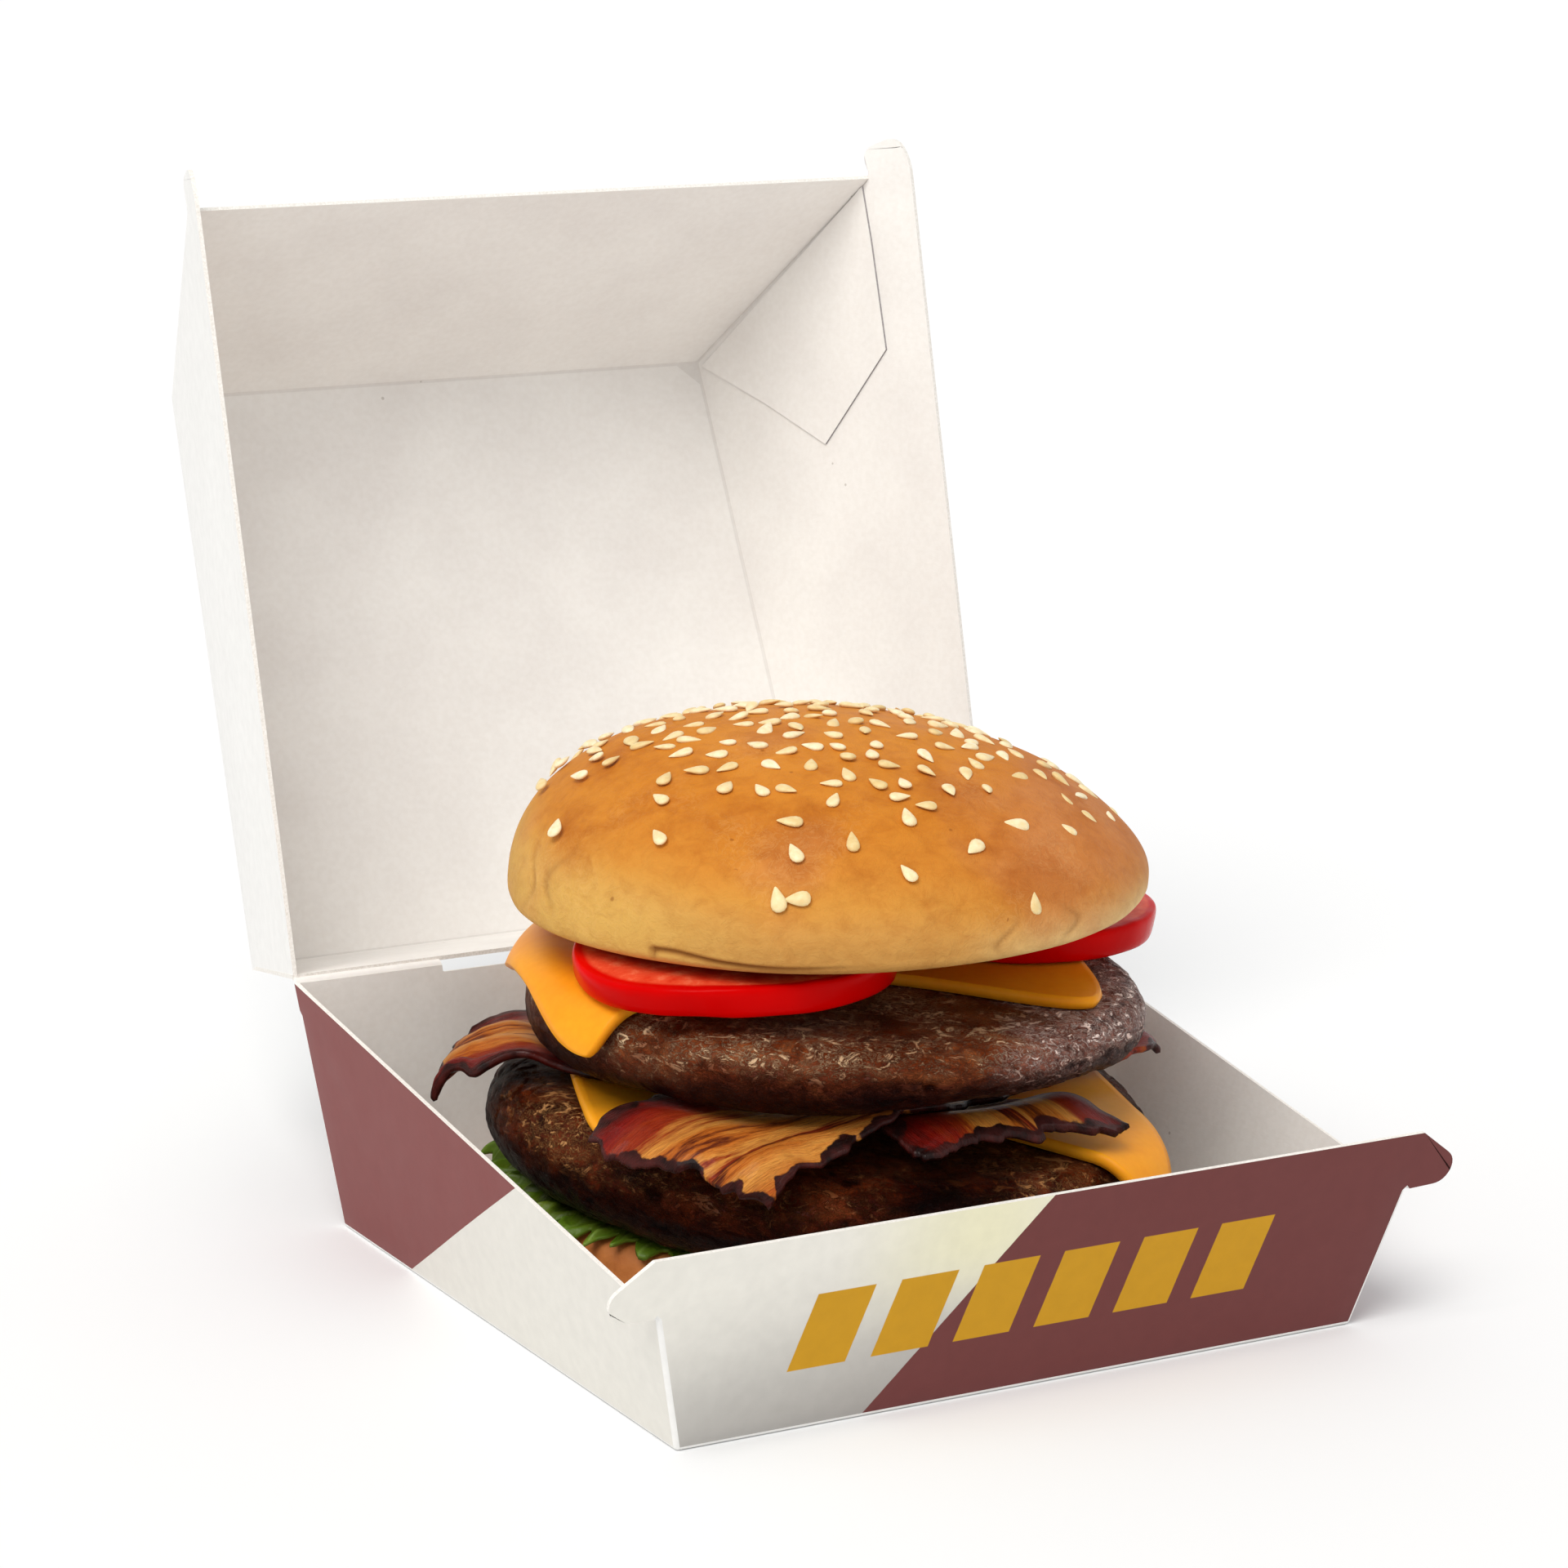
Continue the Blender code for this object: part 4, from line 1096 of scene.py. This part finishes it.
def bun_heel():
    """The lower half: flat below, its top level with the leaning stack."""
    columns = 360
    turns = np.linspace(0, math.pi / 2, 12)
    inner = np.linspace(0.12, 1.0, 10)
    flat = HEEL_R - HEEL_EDGE
    half = HEEL_H / 2 - HEEL_EDGE
    side = np.linspace(1, -1, 12)[1:-1]
    radii = [*(flat * inner), *(flat + HEEL_EDGE * np.sin(turns[1:])),
             *(HEEL_R + HEEL_BULGE * (1 - side * side)),
             *(flat + HEEL_EDGE * np.cos(turns)), *(flat * inner[::-1][1:])]
    heights = [*[HEEL_H / 2] * len(inner), *(half + HEEL_EDGE * np.cos(turns[1:])),
               *(half * side),
               *(-half - HEEL_EDGE * np.sin(turns)), *[-HEEL_H / 2] * (len(inner) - 1)]
    angle, radius, height = revolved(columns, radii, heights)
    points = spun(radius * uneven(3, 0.010)(angle), angle, height)
    bumps = soft_noise(points, 0.012, 81, 3) * smoothstep(-0.4, 0.2, height / HEEL_H)
    points *= (1 - 0.004 * np.abs(bumps))[:, None] * (1, 1, 0) + (0, 0, 1)
    points = np.vstack([points, (0, 0, HEEL_H / 2), (0, 0, -HEEL_H / 2)])
    slope = Matrix.Rotation(-STACK_LEAN, 3, LEAN_AXIS) @ Vector((0, 0, 1))
    share = points[:, 2] / HEEL_H + 0.5
    points[:, 2] -= share * (slope.x * points[:, 0] + slope.y * points[:, 1]) / slope.z
    points += (STACK_X, STACK_Y, BOARD + GAP + HEEL_H / 2)
    solid("heel", points, closed_rows(points, columns), None, heel_look(), "bun_bottom",
          None)


# ----------------------------------------------------------------------- seeds
SEED_L, SEED_W, SEED_T = 0.0040, 0.0026, 0.0012
SEED_SINK = 0.22                # share of its thickness by which a seed's middle stands clear
SEED_COUNT, SEED_COLUMNS = 175, 14
# The sparse seeds low on the front, each by direction, share of the radius and turn.
FRONT_SEEDS = ((-38, 0.86, 60), (-46, 0.74, 80), (-52, 0.66, 30), (-33, 0.62, 15), (-11, 0.72, 95),
               (-8, 0.83, 30), (4, 0.775, 5), (15, 0.87, 25), (-6, 0.945, 100), (-9.5, 0.95, 20),
               (40, 0.955, -15), (32, 0.80, 120), (19, 0.67, 0), (48, 0.74, 60), (-64, 0.93, 45),
               (62, 0.80, 20), (26, 0.62, 75))


def seed_shape():
    """The points of one seed lying flat, pointed at one end."""
    turn, along = revolved(SEED_COLUMNS, np.linspace(0, math.pi, 9)[1:-1])
    width = np.sin(along) * (0.62 + 0.38 * np.cos(along)) / 0.78
    points = np.stack([-np.cos(along) * SEED_L / 2, width * np.cos(turn) * SEED_W / 2,
                       width * np.sin(turn) * SEED_T / 2], axis=1)
    return np.vstack([points, (-SEED_L / 2, 0, 0), (SEED_L / 2, 0, 0)])


def seed_places():
    """Direction, share of the radius and turn of every seed, none too close to another."""
    rng = random.Random(42)
    places = [(FRONT + math.radians(direction), share, math.radians(turn))
              for direction, share, turn in FRONT_SEEDS]
    spots = [Vector((share * math.cos(a), share * math.sin(a))) for a, share, _ in places]
    tries = 0
    while len(places) < SEED_COUNT and tries < 20000:
        tries += 1
        angle, share = rng.uniform(0, math.tau), math.sqrt(rng.random()) * 0.95
        front = math.cos(angle - FRONT) > 0.25
        limit = 0.60 if front else 0.82
        chance = 1.0 if share < 0.50 else max(0.06, 1.0 - (share - 0.50) / (limit - 0.42))
        if rng.random() > chance or (front and share > 0.62):
            continue
        spot = Vector((share * math.cos(angle), share * math.sin(angle)))
        nearest = min((spot - other).length for other in spots)
        if nearest < rng.choice((0.075, 0.095, 0.120)):
            continue
        spots.append(spot)
        places.append((angle, share, rng.uniform(0, math.tau)))
    return places


def seed_look():
    look = Look("sesame", Roughness=0.42, IOR=1.45)
    colour = look.ramp(look.mark("tone"), (0.0, 232, 206, 146), (0.5, 246, 228, 182),
                       (1.0, 252, 240, 206))
    look.set(Base_Color=look.stain(colour, 0.5, look.noise(900, 3), 0.35, 0.65, (232, 214, 178)))
    look.scatter(0.15, (1.0, 0.7, 0.4), 0.0006)
    look.bump(look.noise(1800, 2), 0.00004)
    return look.material


def sesame_seeds():
    shape = seed_shape()
    shape_faces = closed_rows(shape, SEED_COLUMNS)
    rng = random.Random(7)
    points, faces, tones = [], [], []
    dome = BUN_H - BUN_WAIST
    for angle, share, turn in seed_places():
        radius = BUN_R * float(CROWN_WAVE(angle)) * share
        rise = math.sqrt(max(0.0, 1.0 - share * share))
        at = Vector((radius * math.cos(angle), radius * math.sin(angle), BUN_WAIST + dome * rise))
        normal = Vector((share * math.cos(angle) / BUN_R, share * math.sin(angle) / BUN_R,
                         rise / dome)).normalized()
        lie = normal.to_track_quat("Z", "X").to_matrix().to_4x4()
        tilt = (Matrix.Rotation(rng.gauss(0, 0.10), 4, "X")
                @ Matrix.Rotation(rng.gauss(0, 0.12), 4, "Y"))
        size = rng.uniform(0.88, 1.10)
        place = (Matrix.Translation(at + normal * SEED_T * SEED_SINK) @ lie
                 @ Matrix.Rotation(turn, 4, "Z") @ tilt
                 @ Matrix.Diagonal((size, size * rng.uniform(0.9, 1.08), size, 1)))
        first = len(points) * len(shape)
        points.append(shape @ np.array(place.to_3x3()).T + np.array(place.translation))
        faces += [[first + i for i in face] for face in shape_faces]
        tones += [rng.random()] * len(shape)
    solid("sesame_seeds", np.vstack(points), faces, {"tone": tones}, seed_look(), None,
          CROWN)


# ---------------------------------------------------------------------- cheese
def cheese_look():
    look = Look("cheese", IOR=1.45, Specular_IOR_Level=0.14)
    base = look.ramp(look.noise(45, 3), (0.3, 244, 152, 22), (0.7, 250, 168, 34))
    look.set(Base_Color=look.stain(base, 0.35, look.noise(700, 3), 0.35, 0.65, (244, 236, 220)),
             Roughness=look.range(look.noise(160, 3), 0.28, 0.42))
    look.scatter(0.22, (1.0, 0.45, 0.08), 0.0025)
    slow = look.bump(look.noise(120, 2), 0.00012)
    look.bump(look.noise(900, 2), 0.000015, after=slow)
    return look.material


def cheese_piece(name, patty, corners, bow, seed, look):
    """A slice with rounded corners, laid on a patty and hanging over its edge.

    corners are given by distance and direction, first those of its front
    edge, and bow is how far that edge is drawn in.
    """
    rows = 90
    u, v, height = sheet_grid(rows, rows)
    reach, way = np.array(corners).T
    spots = spun(reach, np.radians(way), 0.0)[:, :2]
    rounding = 1.0 - 0.070 * (np.abs(u) * np.abs(v)) ** 6
    swell = np.where(height == 0.5, 1 + 0.22 * CHEESE_T / 0.05, 1.0)
    across = (0.5 + 0.5 * u * rounding * swell)[:, None]
    back = (0.5 + 0.5 * v * rounding * swell)[:, None]
    flat = mix(mix(spots[0], spots[1], across), mix(spots[3], spots[2], across), back)
    inward = (spots[2] + spots[3]) - (spots[0] + spots[1])
    inward /= np.linalg.norm(inward)
    flat += inward * (bow * (1 - u * u) ** 2 * (0.5 - 0.5 * v) ** 3)[:, None]
    x, y = flat.T
    free = smoothstep(0.002, 0.016, np.hypot(x, y) - patty.flat_radius(np.arctan2(y, x)))
    wave = 0.0005 * free * (1 + soft_noise(np.column_stack([flat, 0 * x]), 0.016, seed, 2))
    points = patty.fold(x, y, GAP, patty.edge + GAP, height * CHEESE_T + wave)
    solid(name + "_slice", points, sheet_faces(rows, rows), None, look, name)


CHEESES = (
    ("cheese_lower", LOWER, ((0.0575, -163), (0.0684, -63), (0.060, 25), (0.062, 112)), 0.0260, 51),
    ("cheese_upper", UPPER, ((0.0590, -168), (0.0472, -54), (0.055, 24), (0.062, 130)), 0.0190, 52),
)


# ----------------------------------------------------------------------- bacon
def bacon_look():
    """Fried bacon: bands of dark lean and amber fat along the rasher."""
    look = Look("fried_bacon", IOR=1.47, Specular_IOR_Level=0.16,
                Coat_Weight=0.08, Coat_Roughness=0.12)
    along, across = look.mark("along"), look.mark("across")
    strip = look.node("CombineXYZ", {0: look.times(along, 4.0), 1: look.times(across, 14.0),
                                     2: 0.0}).outputs[0]
    drift = look.swing(look.noise(0.55, 3, at=strip), 0.60)
    fine = look.swing(look.noise(2.4, 5, 0.65, at=strip), 0.26)
    level = look.maths("MULTIPLY_ADD", look.plus(look.plus(across, drift), fine), 0.5, 0.5)
    dark, red, brick = (66, 14, 8), (136, 18, 8), (160, 52, 16)
    amber, gold = (206, 112, 34), (232, 158, 70)
    bands = look.ramp(level, (0.02, *dark), (0.12, *red), (0.26, *brick), (0.31, *amber),
                      (0.40, *gold), (0.475, *amber), (0.495, *dark), (0.525, *brick),
                      (0.56, *gold), (0.61, *amber), (0.635, 90, 24, 12), (0.66, *amber),
                      (0.74, *gold), (0.80, *brick), (0.90, *red), (1.0, *dark))
    grain = look.noise(6.0, 6, 0.72, at=strip)
    bands = look.stain(bands, 0.55, grain, 0.34, 0.56, (158, 104, 74))
    burnt = look.ramp(look.noise(300, 4), (0.35, 28, 8, 6), (0.65, 78, 28, 24))
    char = look.plus(look.mark("char"), look.minus(look.noise(520, 4, 0.6), 0.5))
    look.set(Base_Color=look.mix(look.step(char, 0.38, 0.62), bands, burnt),
             Roughness=look.range(grain, 0.20, 0.44))
    look.scatter(0.05, (1.0, 0.4, 0.15), 0.0012)
    streaks = look.bump(look.noise(4.5, 6, 0.62, at=strip), 0.00060)
    look.bump(look.noise(700, 4), 0.00012, after=streaks)
    return look.material


def bacon_piece(name, look, ends, widths, cut, bow, rise, above, bands, seed):
    """A wavy rasher on the lower patty, its ragged ends drooping outside.

    ends are the middles of its two ends, widths and cut each end's width and
    slant, bow how far its middle strays from the line between them, rise how
    far its last corner curls up, and above its height over the patty.  bands
    says how its fat lies: the bands' spread across it, their skew and their
    shift.
    """
    rows, columns = 60, 220
    u, v, height = sheet_grid(rows, columns)
    zero = 0 * u
    start, end = np.array(ends[0]), np.array(ends[1])
    length = np.linalg.norm(end - start)
    along = (end - start) / length
    across = np.array((-along[1], along[0]))
    edge_wave = uneven(seed, 0.06, (3, 5, 8))
    width = mix(widths[0], widths[1], 0.5 + 0.5 * u)
    half = width / 2 * (1.0 - 0.12 * np.abs(u) ** 6) * edge_wave(u * math.pi / 2 + v)
    line = np.stack([u * length / 2, np.sign(v) * 0.02, zero], axis=1)
    tips = np.stack([np.sign(u) * 0.03, v * width / 2, zero], axis=1)
    ragged = (0.0016 * soft_noise(line, 0.0065, seed + 5, 3)) * np.abs(v) ** 3
    torn = (0.0017 * soft_noise(tips, 0.0034, seed + 9, 3) - 0.0012 * v ** 4) * np.abs(u) ** 8
    slant = np.where(u > 0, cut[1] * v, -cut[0] * v) * np.abs(u) ** 2
    rim = np.where(height == 0.5, 0.0003, 0.0)
    reach = length * (0.5 + 0.5 * u) + slant + np.sign(u) * (torn + rim)
    sideways = v * half + np.sign(v) * (ragged + rim) + bow * (1 - u * u)
    flat = start + along * reach[:, None] + across * sideways[:, None]
    x, y = flat.T
    from_middle, angle = np.hypot(x, y), np.arctan2(y, x)
    facing = np.cos(angle_from(angle, FRONT))
    bend = mix(BACON_BEND_BACK, BACON_BEND_FRONT, smoothstep(0.15, 0.75, facing))
    side = smoothstep(-0.35, 0.45, flat @ TO_RIGHT / np.maximum(from_middle, 1e-6))
    arch = mix(BACON_ARCH_LEFT, BACON_ARCH_RIGHT, side) * smoothstep(0.0, 0.6, facing)
    arch = arch * around(from_middle, BACON_ARCH_AT, BACON_ARCH_W)
    arch += rise * np.maximum(0.0, u) ** 8 * (0.5 + 0.5 * v)
    free = smoothstep(0.046, 0.060, from_middle)
    ripple = random.Random(seed).uniform(0, math.tau)
    crimp = (0.0009 * np.sin(3.2 * math.pi * v + 3.0 * u + ripple)
             + 0.0007 * np.sin(17.0 * u + 2 * v))
    curl = 0.0012 * np.abs(v) ** 3 * (1 + soft_noise(line, 0.010, seed + 7, 2))
    frill = 0.0008 * np.abs(u) ** 10 * np.sin(11 * v + ripple)
    lift = free * (0.0012 + crimp + curl + frill)
    rough = 0.00015 * soft_noise(np.column_stack([flat, zero]), 0.0018, seed + 3, 2) * free
    thick = height * BACON_T * (1 - 0.35 * np.maximum(np.abs(v) ** 6, np.abs(u) ** 16))
    points = LOWER.fold(x, y, above + arch + lift, bend, thick + rough)
    border = np.maximum(np.abs(v) + 0.10 * soft_noise(line, 0.004, seed + 11, 2),
                        1.0 - (1.0 - np.abs(u)) * length / width * 0.9
                        + 0.08 * soft_noise(tips, 0.004, seed + 13, 2))
    marks = {"along": u, "across": bands[0] * v + bands[1] * u + bands[2],
             "char": smoothstep(0.88, 1.02, border)}
    solid(name + "_rasher", points, sheet_faces(rows, columns), marks, look, name)


RASHERS = {
    "bacon_right": dict(ends=((-0.0582, 0.0322), (0.0065, -0.0486)), widths=(0.0235, 0.0365),
                        cut=(0.0, 0.0120), bow=0.0100, rise=0.0018, above=OVER_CHEESE,
                        bands=(1.0, 0.0, 0.05), seed=31),
    "bacon_left": dict(ends=((-0.0515, -0.0356), (0.0558, 0.0009)), widths=(0.0365, 0.0230),
                       cut=(0.0025, 0.0), bow=0.0, rise=0.0050, above=OVER_CHEESE + BACON_T + GAP,
                       bands=(0.65, 0.55, 0.80), seed=37),
}


# ---------------------------------------------------------------------- tomato
def tomato_look():
    look = Look("tomato", IOR=1.4, Specular_IOR_Level=0.05)
    flesh = look.ramp(look.noise(240, 6, 0.62), (0.3, 214, 50, 26), (0.52, 228, 82, 50),
                      (0.72, 240, 130, 92))
    skin = look.ramp(look.noise(60, 2), (0.3, 192, 0, 0), (0.7, 218, 1, 0))
    rim = look.step(look.mark("reach"), 0.925, 0.955)
    look.set(Base_Color=look.mix(rim, flesh, skin),
             Roughness=look.range(look.noise(300, 3), 0.16, 0.30))
    look.scatter(0.12, (1.0, 0.12, 0.05), 0.0020)
    wet = look.bump(look.noise(300, 4, 0.6), 0.00010)
    look.bump(look.noise(60, 2), 0.00025, after=wet)
    return look.material


def tomato_piece(name, at, bend, roll, seed, look):
    """A round slice with a taut skin, drooping past the patty and rising to the right."""
    columns = 260
    turns = np.linspace(0, math.pi, 16)[1:-1]
    flat = TOMATO_R - TOMATO_EDGE
    inner = flat * np.linspace(0.08, 1.0, 16)
    level = [math.copysign(abs(math.cos(t)) ** 0.55, math.cos(t)) for t in turns]
    radii = [*inner, *[flat + TOMATO_EDGE * math.sin(t) ** 0.6 for t in turns], *inner[::-1]]
    heights = [*[TOMATO_T] * 16, *[TOMATO_T / 2 * (1 + l) for l in level], *[0.0] * 16]
    angle, radius, height = revolved(columns, radii, heights)
    points = spun(radius * uneven(seed, 0.008, (3, 5, 6))(angle), angle, height)
    points = np.vstack([points, (0, 0, TOMATO_T), (0, 0, 0)])
    x, y, height = points.T
    height = height + 0.00012 * soft_noise(points, 0.006, seed, 2)
    points = UPPER.fold(x + at[0] - UPPER.centre[0], y + at[1] - UPPER.centre[1], OVER_CHEESE,
                        bend, height)
    points[:, 2] += roll * (TOMATO_R + (points[:, :2] - at) @ TO_RIGHT)
    marks = {"reach": np.append(radius / TOMATO_R, (0, 0))}
    solid(name + "_slice", points, closed_rows(points, columns), marks, look, name)


# each slice's place, the bend where it droops, how steeply it rises, and its seed
TOMATOES = (("tomato_left", (-0.0275, -0.0086), 0.0150, 0.045, 61),
            ("tomato_right", (0.0318, 0.0048), 0.0800, 0.0, 62))


# --------------------------------------------------------------------- lettuce
def leaf_look():
    look = Look("leaf", IOR=1.4)
    edge, vein = look.mark("edge"), look.mark("vein")
    green = look.ramp(look.noise(90, 4), (0.3, 74, 98, 14), (0.55, 116, 142, 30),
                      (0.75, 168, 186, 68))
    green = look.tint(green, edge, 0.35, (52, 100, 26))
    green = look.tint(green, look.step(vein, 0.55, 0.95), 0.5, (150, 182, 92))
    shade = look.ramp(edge, (0.0, 110, 112, 84), (0.75, 250, 250, 240))
    look.set(Base_Color=look.mix(1.0, green, shade, "MULTIPLY"),
             Roughness=look.range(look.noise(260, 3), 0.34, 0.55))
    look.scatter(0.2, (0.5, 1.0, 0.2), 0.0015)
    crinkle = look.bump(look.noise(220, 4, 0.6), 0.0005)
    look.bump(vein, 0.0003, after=crinkle)
    return look.material


def lettuce_leaf():
    """A frilled leaf wider than the heel: lobed, toothed and drooping."""
    columns = 1300
    share = np.concatenate([np.linspace(0.1, 0.78, 8), np.linspace(0.8, 1.0, 28)])
    angle = circle(columns)
    lobes, frill = uneven(11, 0.030, (5, 9, 14)), uneven(12, 0.45, (7, 11, 16))
    turn = angle - LEAF_TURN
    outline = LEAF_R * LEAF_D / np.hypot(LEAF_D * np.cos(turn), LEAF_R * np.sin(turn))
    outline = outline * (1 - 0.025 * around(np.degrees(angle_from(angle, FRONT)), -30, 34))
    ring = spun(0.06, angle, 0.0)
    saw = np.abs(((angle * 61 / math.tau + 0.45 * soft_noise(ring, 0.011, 5)) % 1.0) * 2 - 1)
    small = np.abs(((angle * 121 / math.tau + 0.4 * soft_noise(ring, 0.006, 6)) % 1.0) * 2 - 1)
    uneven_teeth = 0.030 * (0.5 + 0.5 * soft_noise(ring, 0.009, 7, 2))
    teeth = 0.078 * saw ** 1.2 + 0.022 * small + uneven_teeth
    steps = [*[(step, 1) for step in share], *[(step, 0) for step in share[::-1]]]
    layers = []
    for step, side in steps:
        rim = smoothstep(0.75, 1.0, step)
        radius = step * outline * (0.97 + (lobes(angle) - 1.0) * step ** 4 - teeth * rim)
        free = np.maximum(0.0, radius - (HEEL_R - HEEL_EDGE))
        droop = free ** 2 / (2 * LEAF_BEND) * (1.0 + 0.5 * (frill(angle) - 1.0))
        ruffle = smoothstep(0.0, 0.012, free) * (0.0013 * np.sin(23 * angle + 60 * step)
                                                 + 0.0009 * np.sin(47 * angle + 1.0))
        thick = side * LEAF_T * (0.4 + 0.6 * (1 - rim))
        layers.append(spun(radius, angle, LEAF_Z + thick - droop + ruffle))
    points = np.vstack([*layers, (0, 0, LEAF_Z + LEAF_T), (0, 0, LEAF_Z)])
    edge = np.repeat([smoothstep(0.86, 1.0, step) for step, _ in steps], columns)
    vein = np.tile(1 - saw ** 0.5, len(steps))
    marks = {"edge": np.append(edge, (0, 0)), "vein": np.append(vein, (0, 0))}
    solid("leaf", points, closed_rows(points, columns), marks, leaf_look(), "lettuce")


# ------------------------------------------------------- camera, floor, lights
# Angles in radians, the lens in millimetres.
CAMERA_TARGET = Vector((-0.0133, 0.0, 0.0851))
CAMERA_AZIMUTH, CAMERA_ELEVATION, CAMERA_ROLL = -0.55121, 0.25434, 0.03761
CAMERA_DISTANCE, CAMERA_LENS = 0.84078, 120.115


def add_camera():
    data = bpy.data.cameras.new("camera")
    data.lens, data.sensor_width, data.clip_start = CAMERA_LENS, 36.0, 0.01
    camera = added("camera", data)
    back = Vector((math.sin(CAMERA_AZIMUTH) * math.cos(CAMERA_ELEVATION),
                   -math.cos(CAMERA_AZIMUTH) * math.cos(CAMERA_ELEVATION),
                   math.sin(CAMERA_ELEVATION)))
    aim = back.to_track_quat("Z", "Y").to_matrix().to_4x4()
    camera.matrix_world = (Matrix.Translation(CAMERA_TARGET + back * CAMERA_DISTANCE)
                           @ aim @ Matrix.Rotation(CAMERA_ROLL, 4, "Z"))
    bpy.context.scene.camera = camera


def add_stage():
    bpy.ops.mesh.primitive_circle_add(vertices=64, radius=9.0, fill_type="NGON")
    floor = bpy.context.object
    floor.name = "floor"
    look = Look("floor", Base_Color=(241, 242, 243), Roughness=0.85, Specular_IOR_Level=0.05)
    floor.data.materials.append(look.material)
    world = bpy.data.worlds.new("studio")
    world.use_nodes = True
    background = world.node_tree.nodes["Background"]
    background.inputs["Color"].default_value = rgb(255, 255, 255)
    background.inputs["Strength"].default_value = 0.68
    bpy.context.scene.world = world
    data = bpy.data.lights.new("key", "SUN")
    data.energy, data.angle, data.color = 1.9, math.radians(36), (1.0, 0.975, 0.94)
    key = added("key", data)
    key.rotation_euler = Vector((-0.52, -0.30, 0.80)).to_track_quat("Z", "Y").to_euler()
    bpy.context.scene.view_settings.view_transform = "Standard"


# ----------------------------------------------------------------------- scene
def card_looks():
    # how far the parting line of maroon and white shifts for each metre of height
    front_slope = (0.0311 - 0.0011) / 0.0327
    left_slope = -(0.0304 + 0.0169) / 0.0302
    return {
        "inside": inside_board(),
        "edge": cut_edge("board_edge", (226, 222, 214), (246, 243, 238)),
        # the flap's cut edge in dark grey: painted shade where the flap stands off the wall
        "flap_shaded_edge": cut_edge("flap_shaded_edge", (140, 136, 138), (168, 164, 164)),
        "plain": plain_print(),
        "front": split_print("print_front", "X", -0.0311, front_slope, 1, bars=True),
        "left": split_print("print_left", "Y", 0.0304, left_slope, 1),
        "right": split_print("print_right", "Y", -0.0280, -left_slope, -1),
        "back": split_print("print_back", "X", 0.0150, -front_slope, -1),
    }


# Where each patty's pits, flakes with their painted highlights and pale end lie, and how dark its
# painted shade low down is, as patty_piece takes them.
UPPER_REGIONS = {
    "pits": ((17, -0.0006, 0.0012, 0.0013), (-48, 0.0020, 0.0010, 0.0008),
             (150, 0.0, 0.0013, 0.0012)),
    "flakes": ((-14, 34, 1.0, 0.05, 0.70), (28, 26, 0.95, 0.0, 0.70), (-42, 15, 1.0, -0.8, 0.1),
               (-120, 60, 0.7, -0.5, 0.5), (130, 60, 0.7, -0.5, 0.5)),
    "pale": (0.50, 0.78),
    "low": 0.10,
}
LOWER_REGIONS = {
    "pits": ((-30, 0.002, 0.0016, 0.0012), (55, -0.003, 0.0015, 0.0010)),
    "flakes": ((-52, 22, 0.85, -0.3, 0.6), (42, 14, 0.65, 0.0, 0.7), (10, 60, 0.15, -0.5, 0.6),
               (150, 60, 0.5, -0.3, 0.6)),
    "pale": (1.02, 1.4),
    "low": 0.12,
}


def beef_pieces():
    upper = beef_look("beef_upper", ((64, 20, 4), (106, 46, 18), (146, 84, 46)), (214, 184, 146),
                      ((64, 26, 18), (118, 72, 60), (160, 112, 98), (244, 222, 212)), (66, 12, 0))
    lower = beef_look("beef_lower", ((22, 4, 0), (64, 18, 4), (116, 50, 20)), (190, 138, 86),
                      ((70, 50, 38), (110, 90, 72), (140, 124, 104), (170, 158, 138)), (34, 8, 2))
    patty_piece("patty_lower_meat", "patty_lower", LOWER, 5, LOWER_REGIONS, lower)
    patty_piece("patty_upper_meat", "patty_upper", UPPER, 8, UPPER_REGIONS, upper)


def build():
    add_camera()
    add_stage()
    looks = card_looks()
    box_tray(looks)
    box_lid(looks)
    hinge_fold(looks)
    bun_heel()
    lettuce_leaf()
    beef_pieces()
    cheese = cheese_look()
    for facts in CHEESES:
        cheese_piece(*facts, cheese)
    bacon = bacon_look()
    for name, facts in RASHERS.items():
        bacon_piece(name, bacon, **facts)
    tomato = tomato_look()
    for facts in TOMATOES:
        tomato_piece(*facts, tomato)
    bun_crown()
    sesame_seeds()


build()
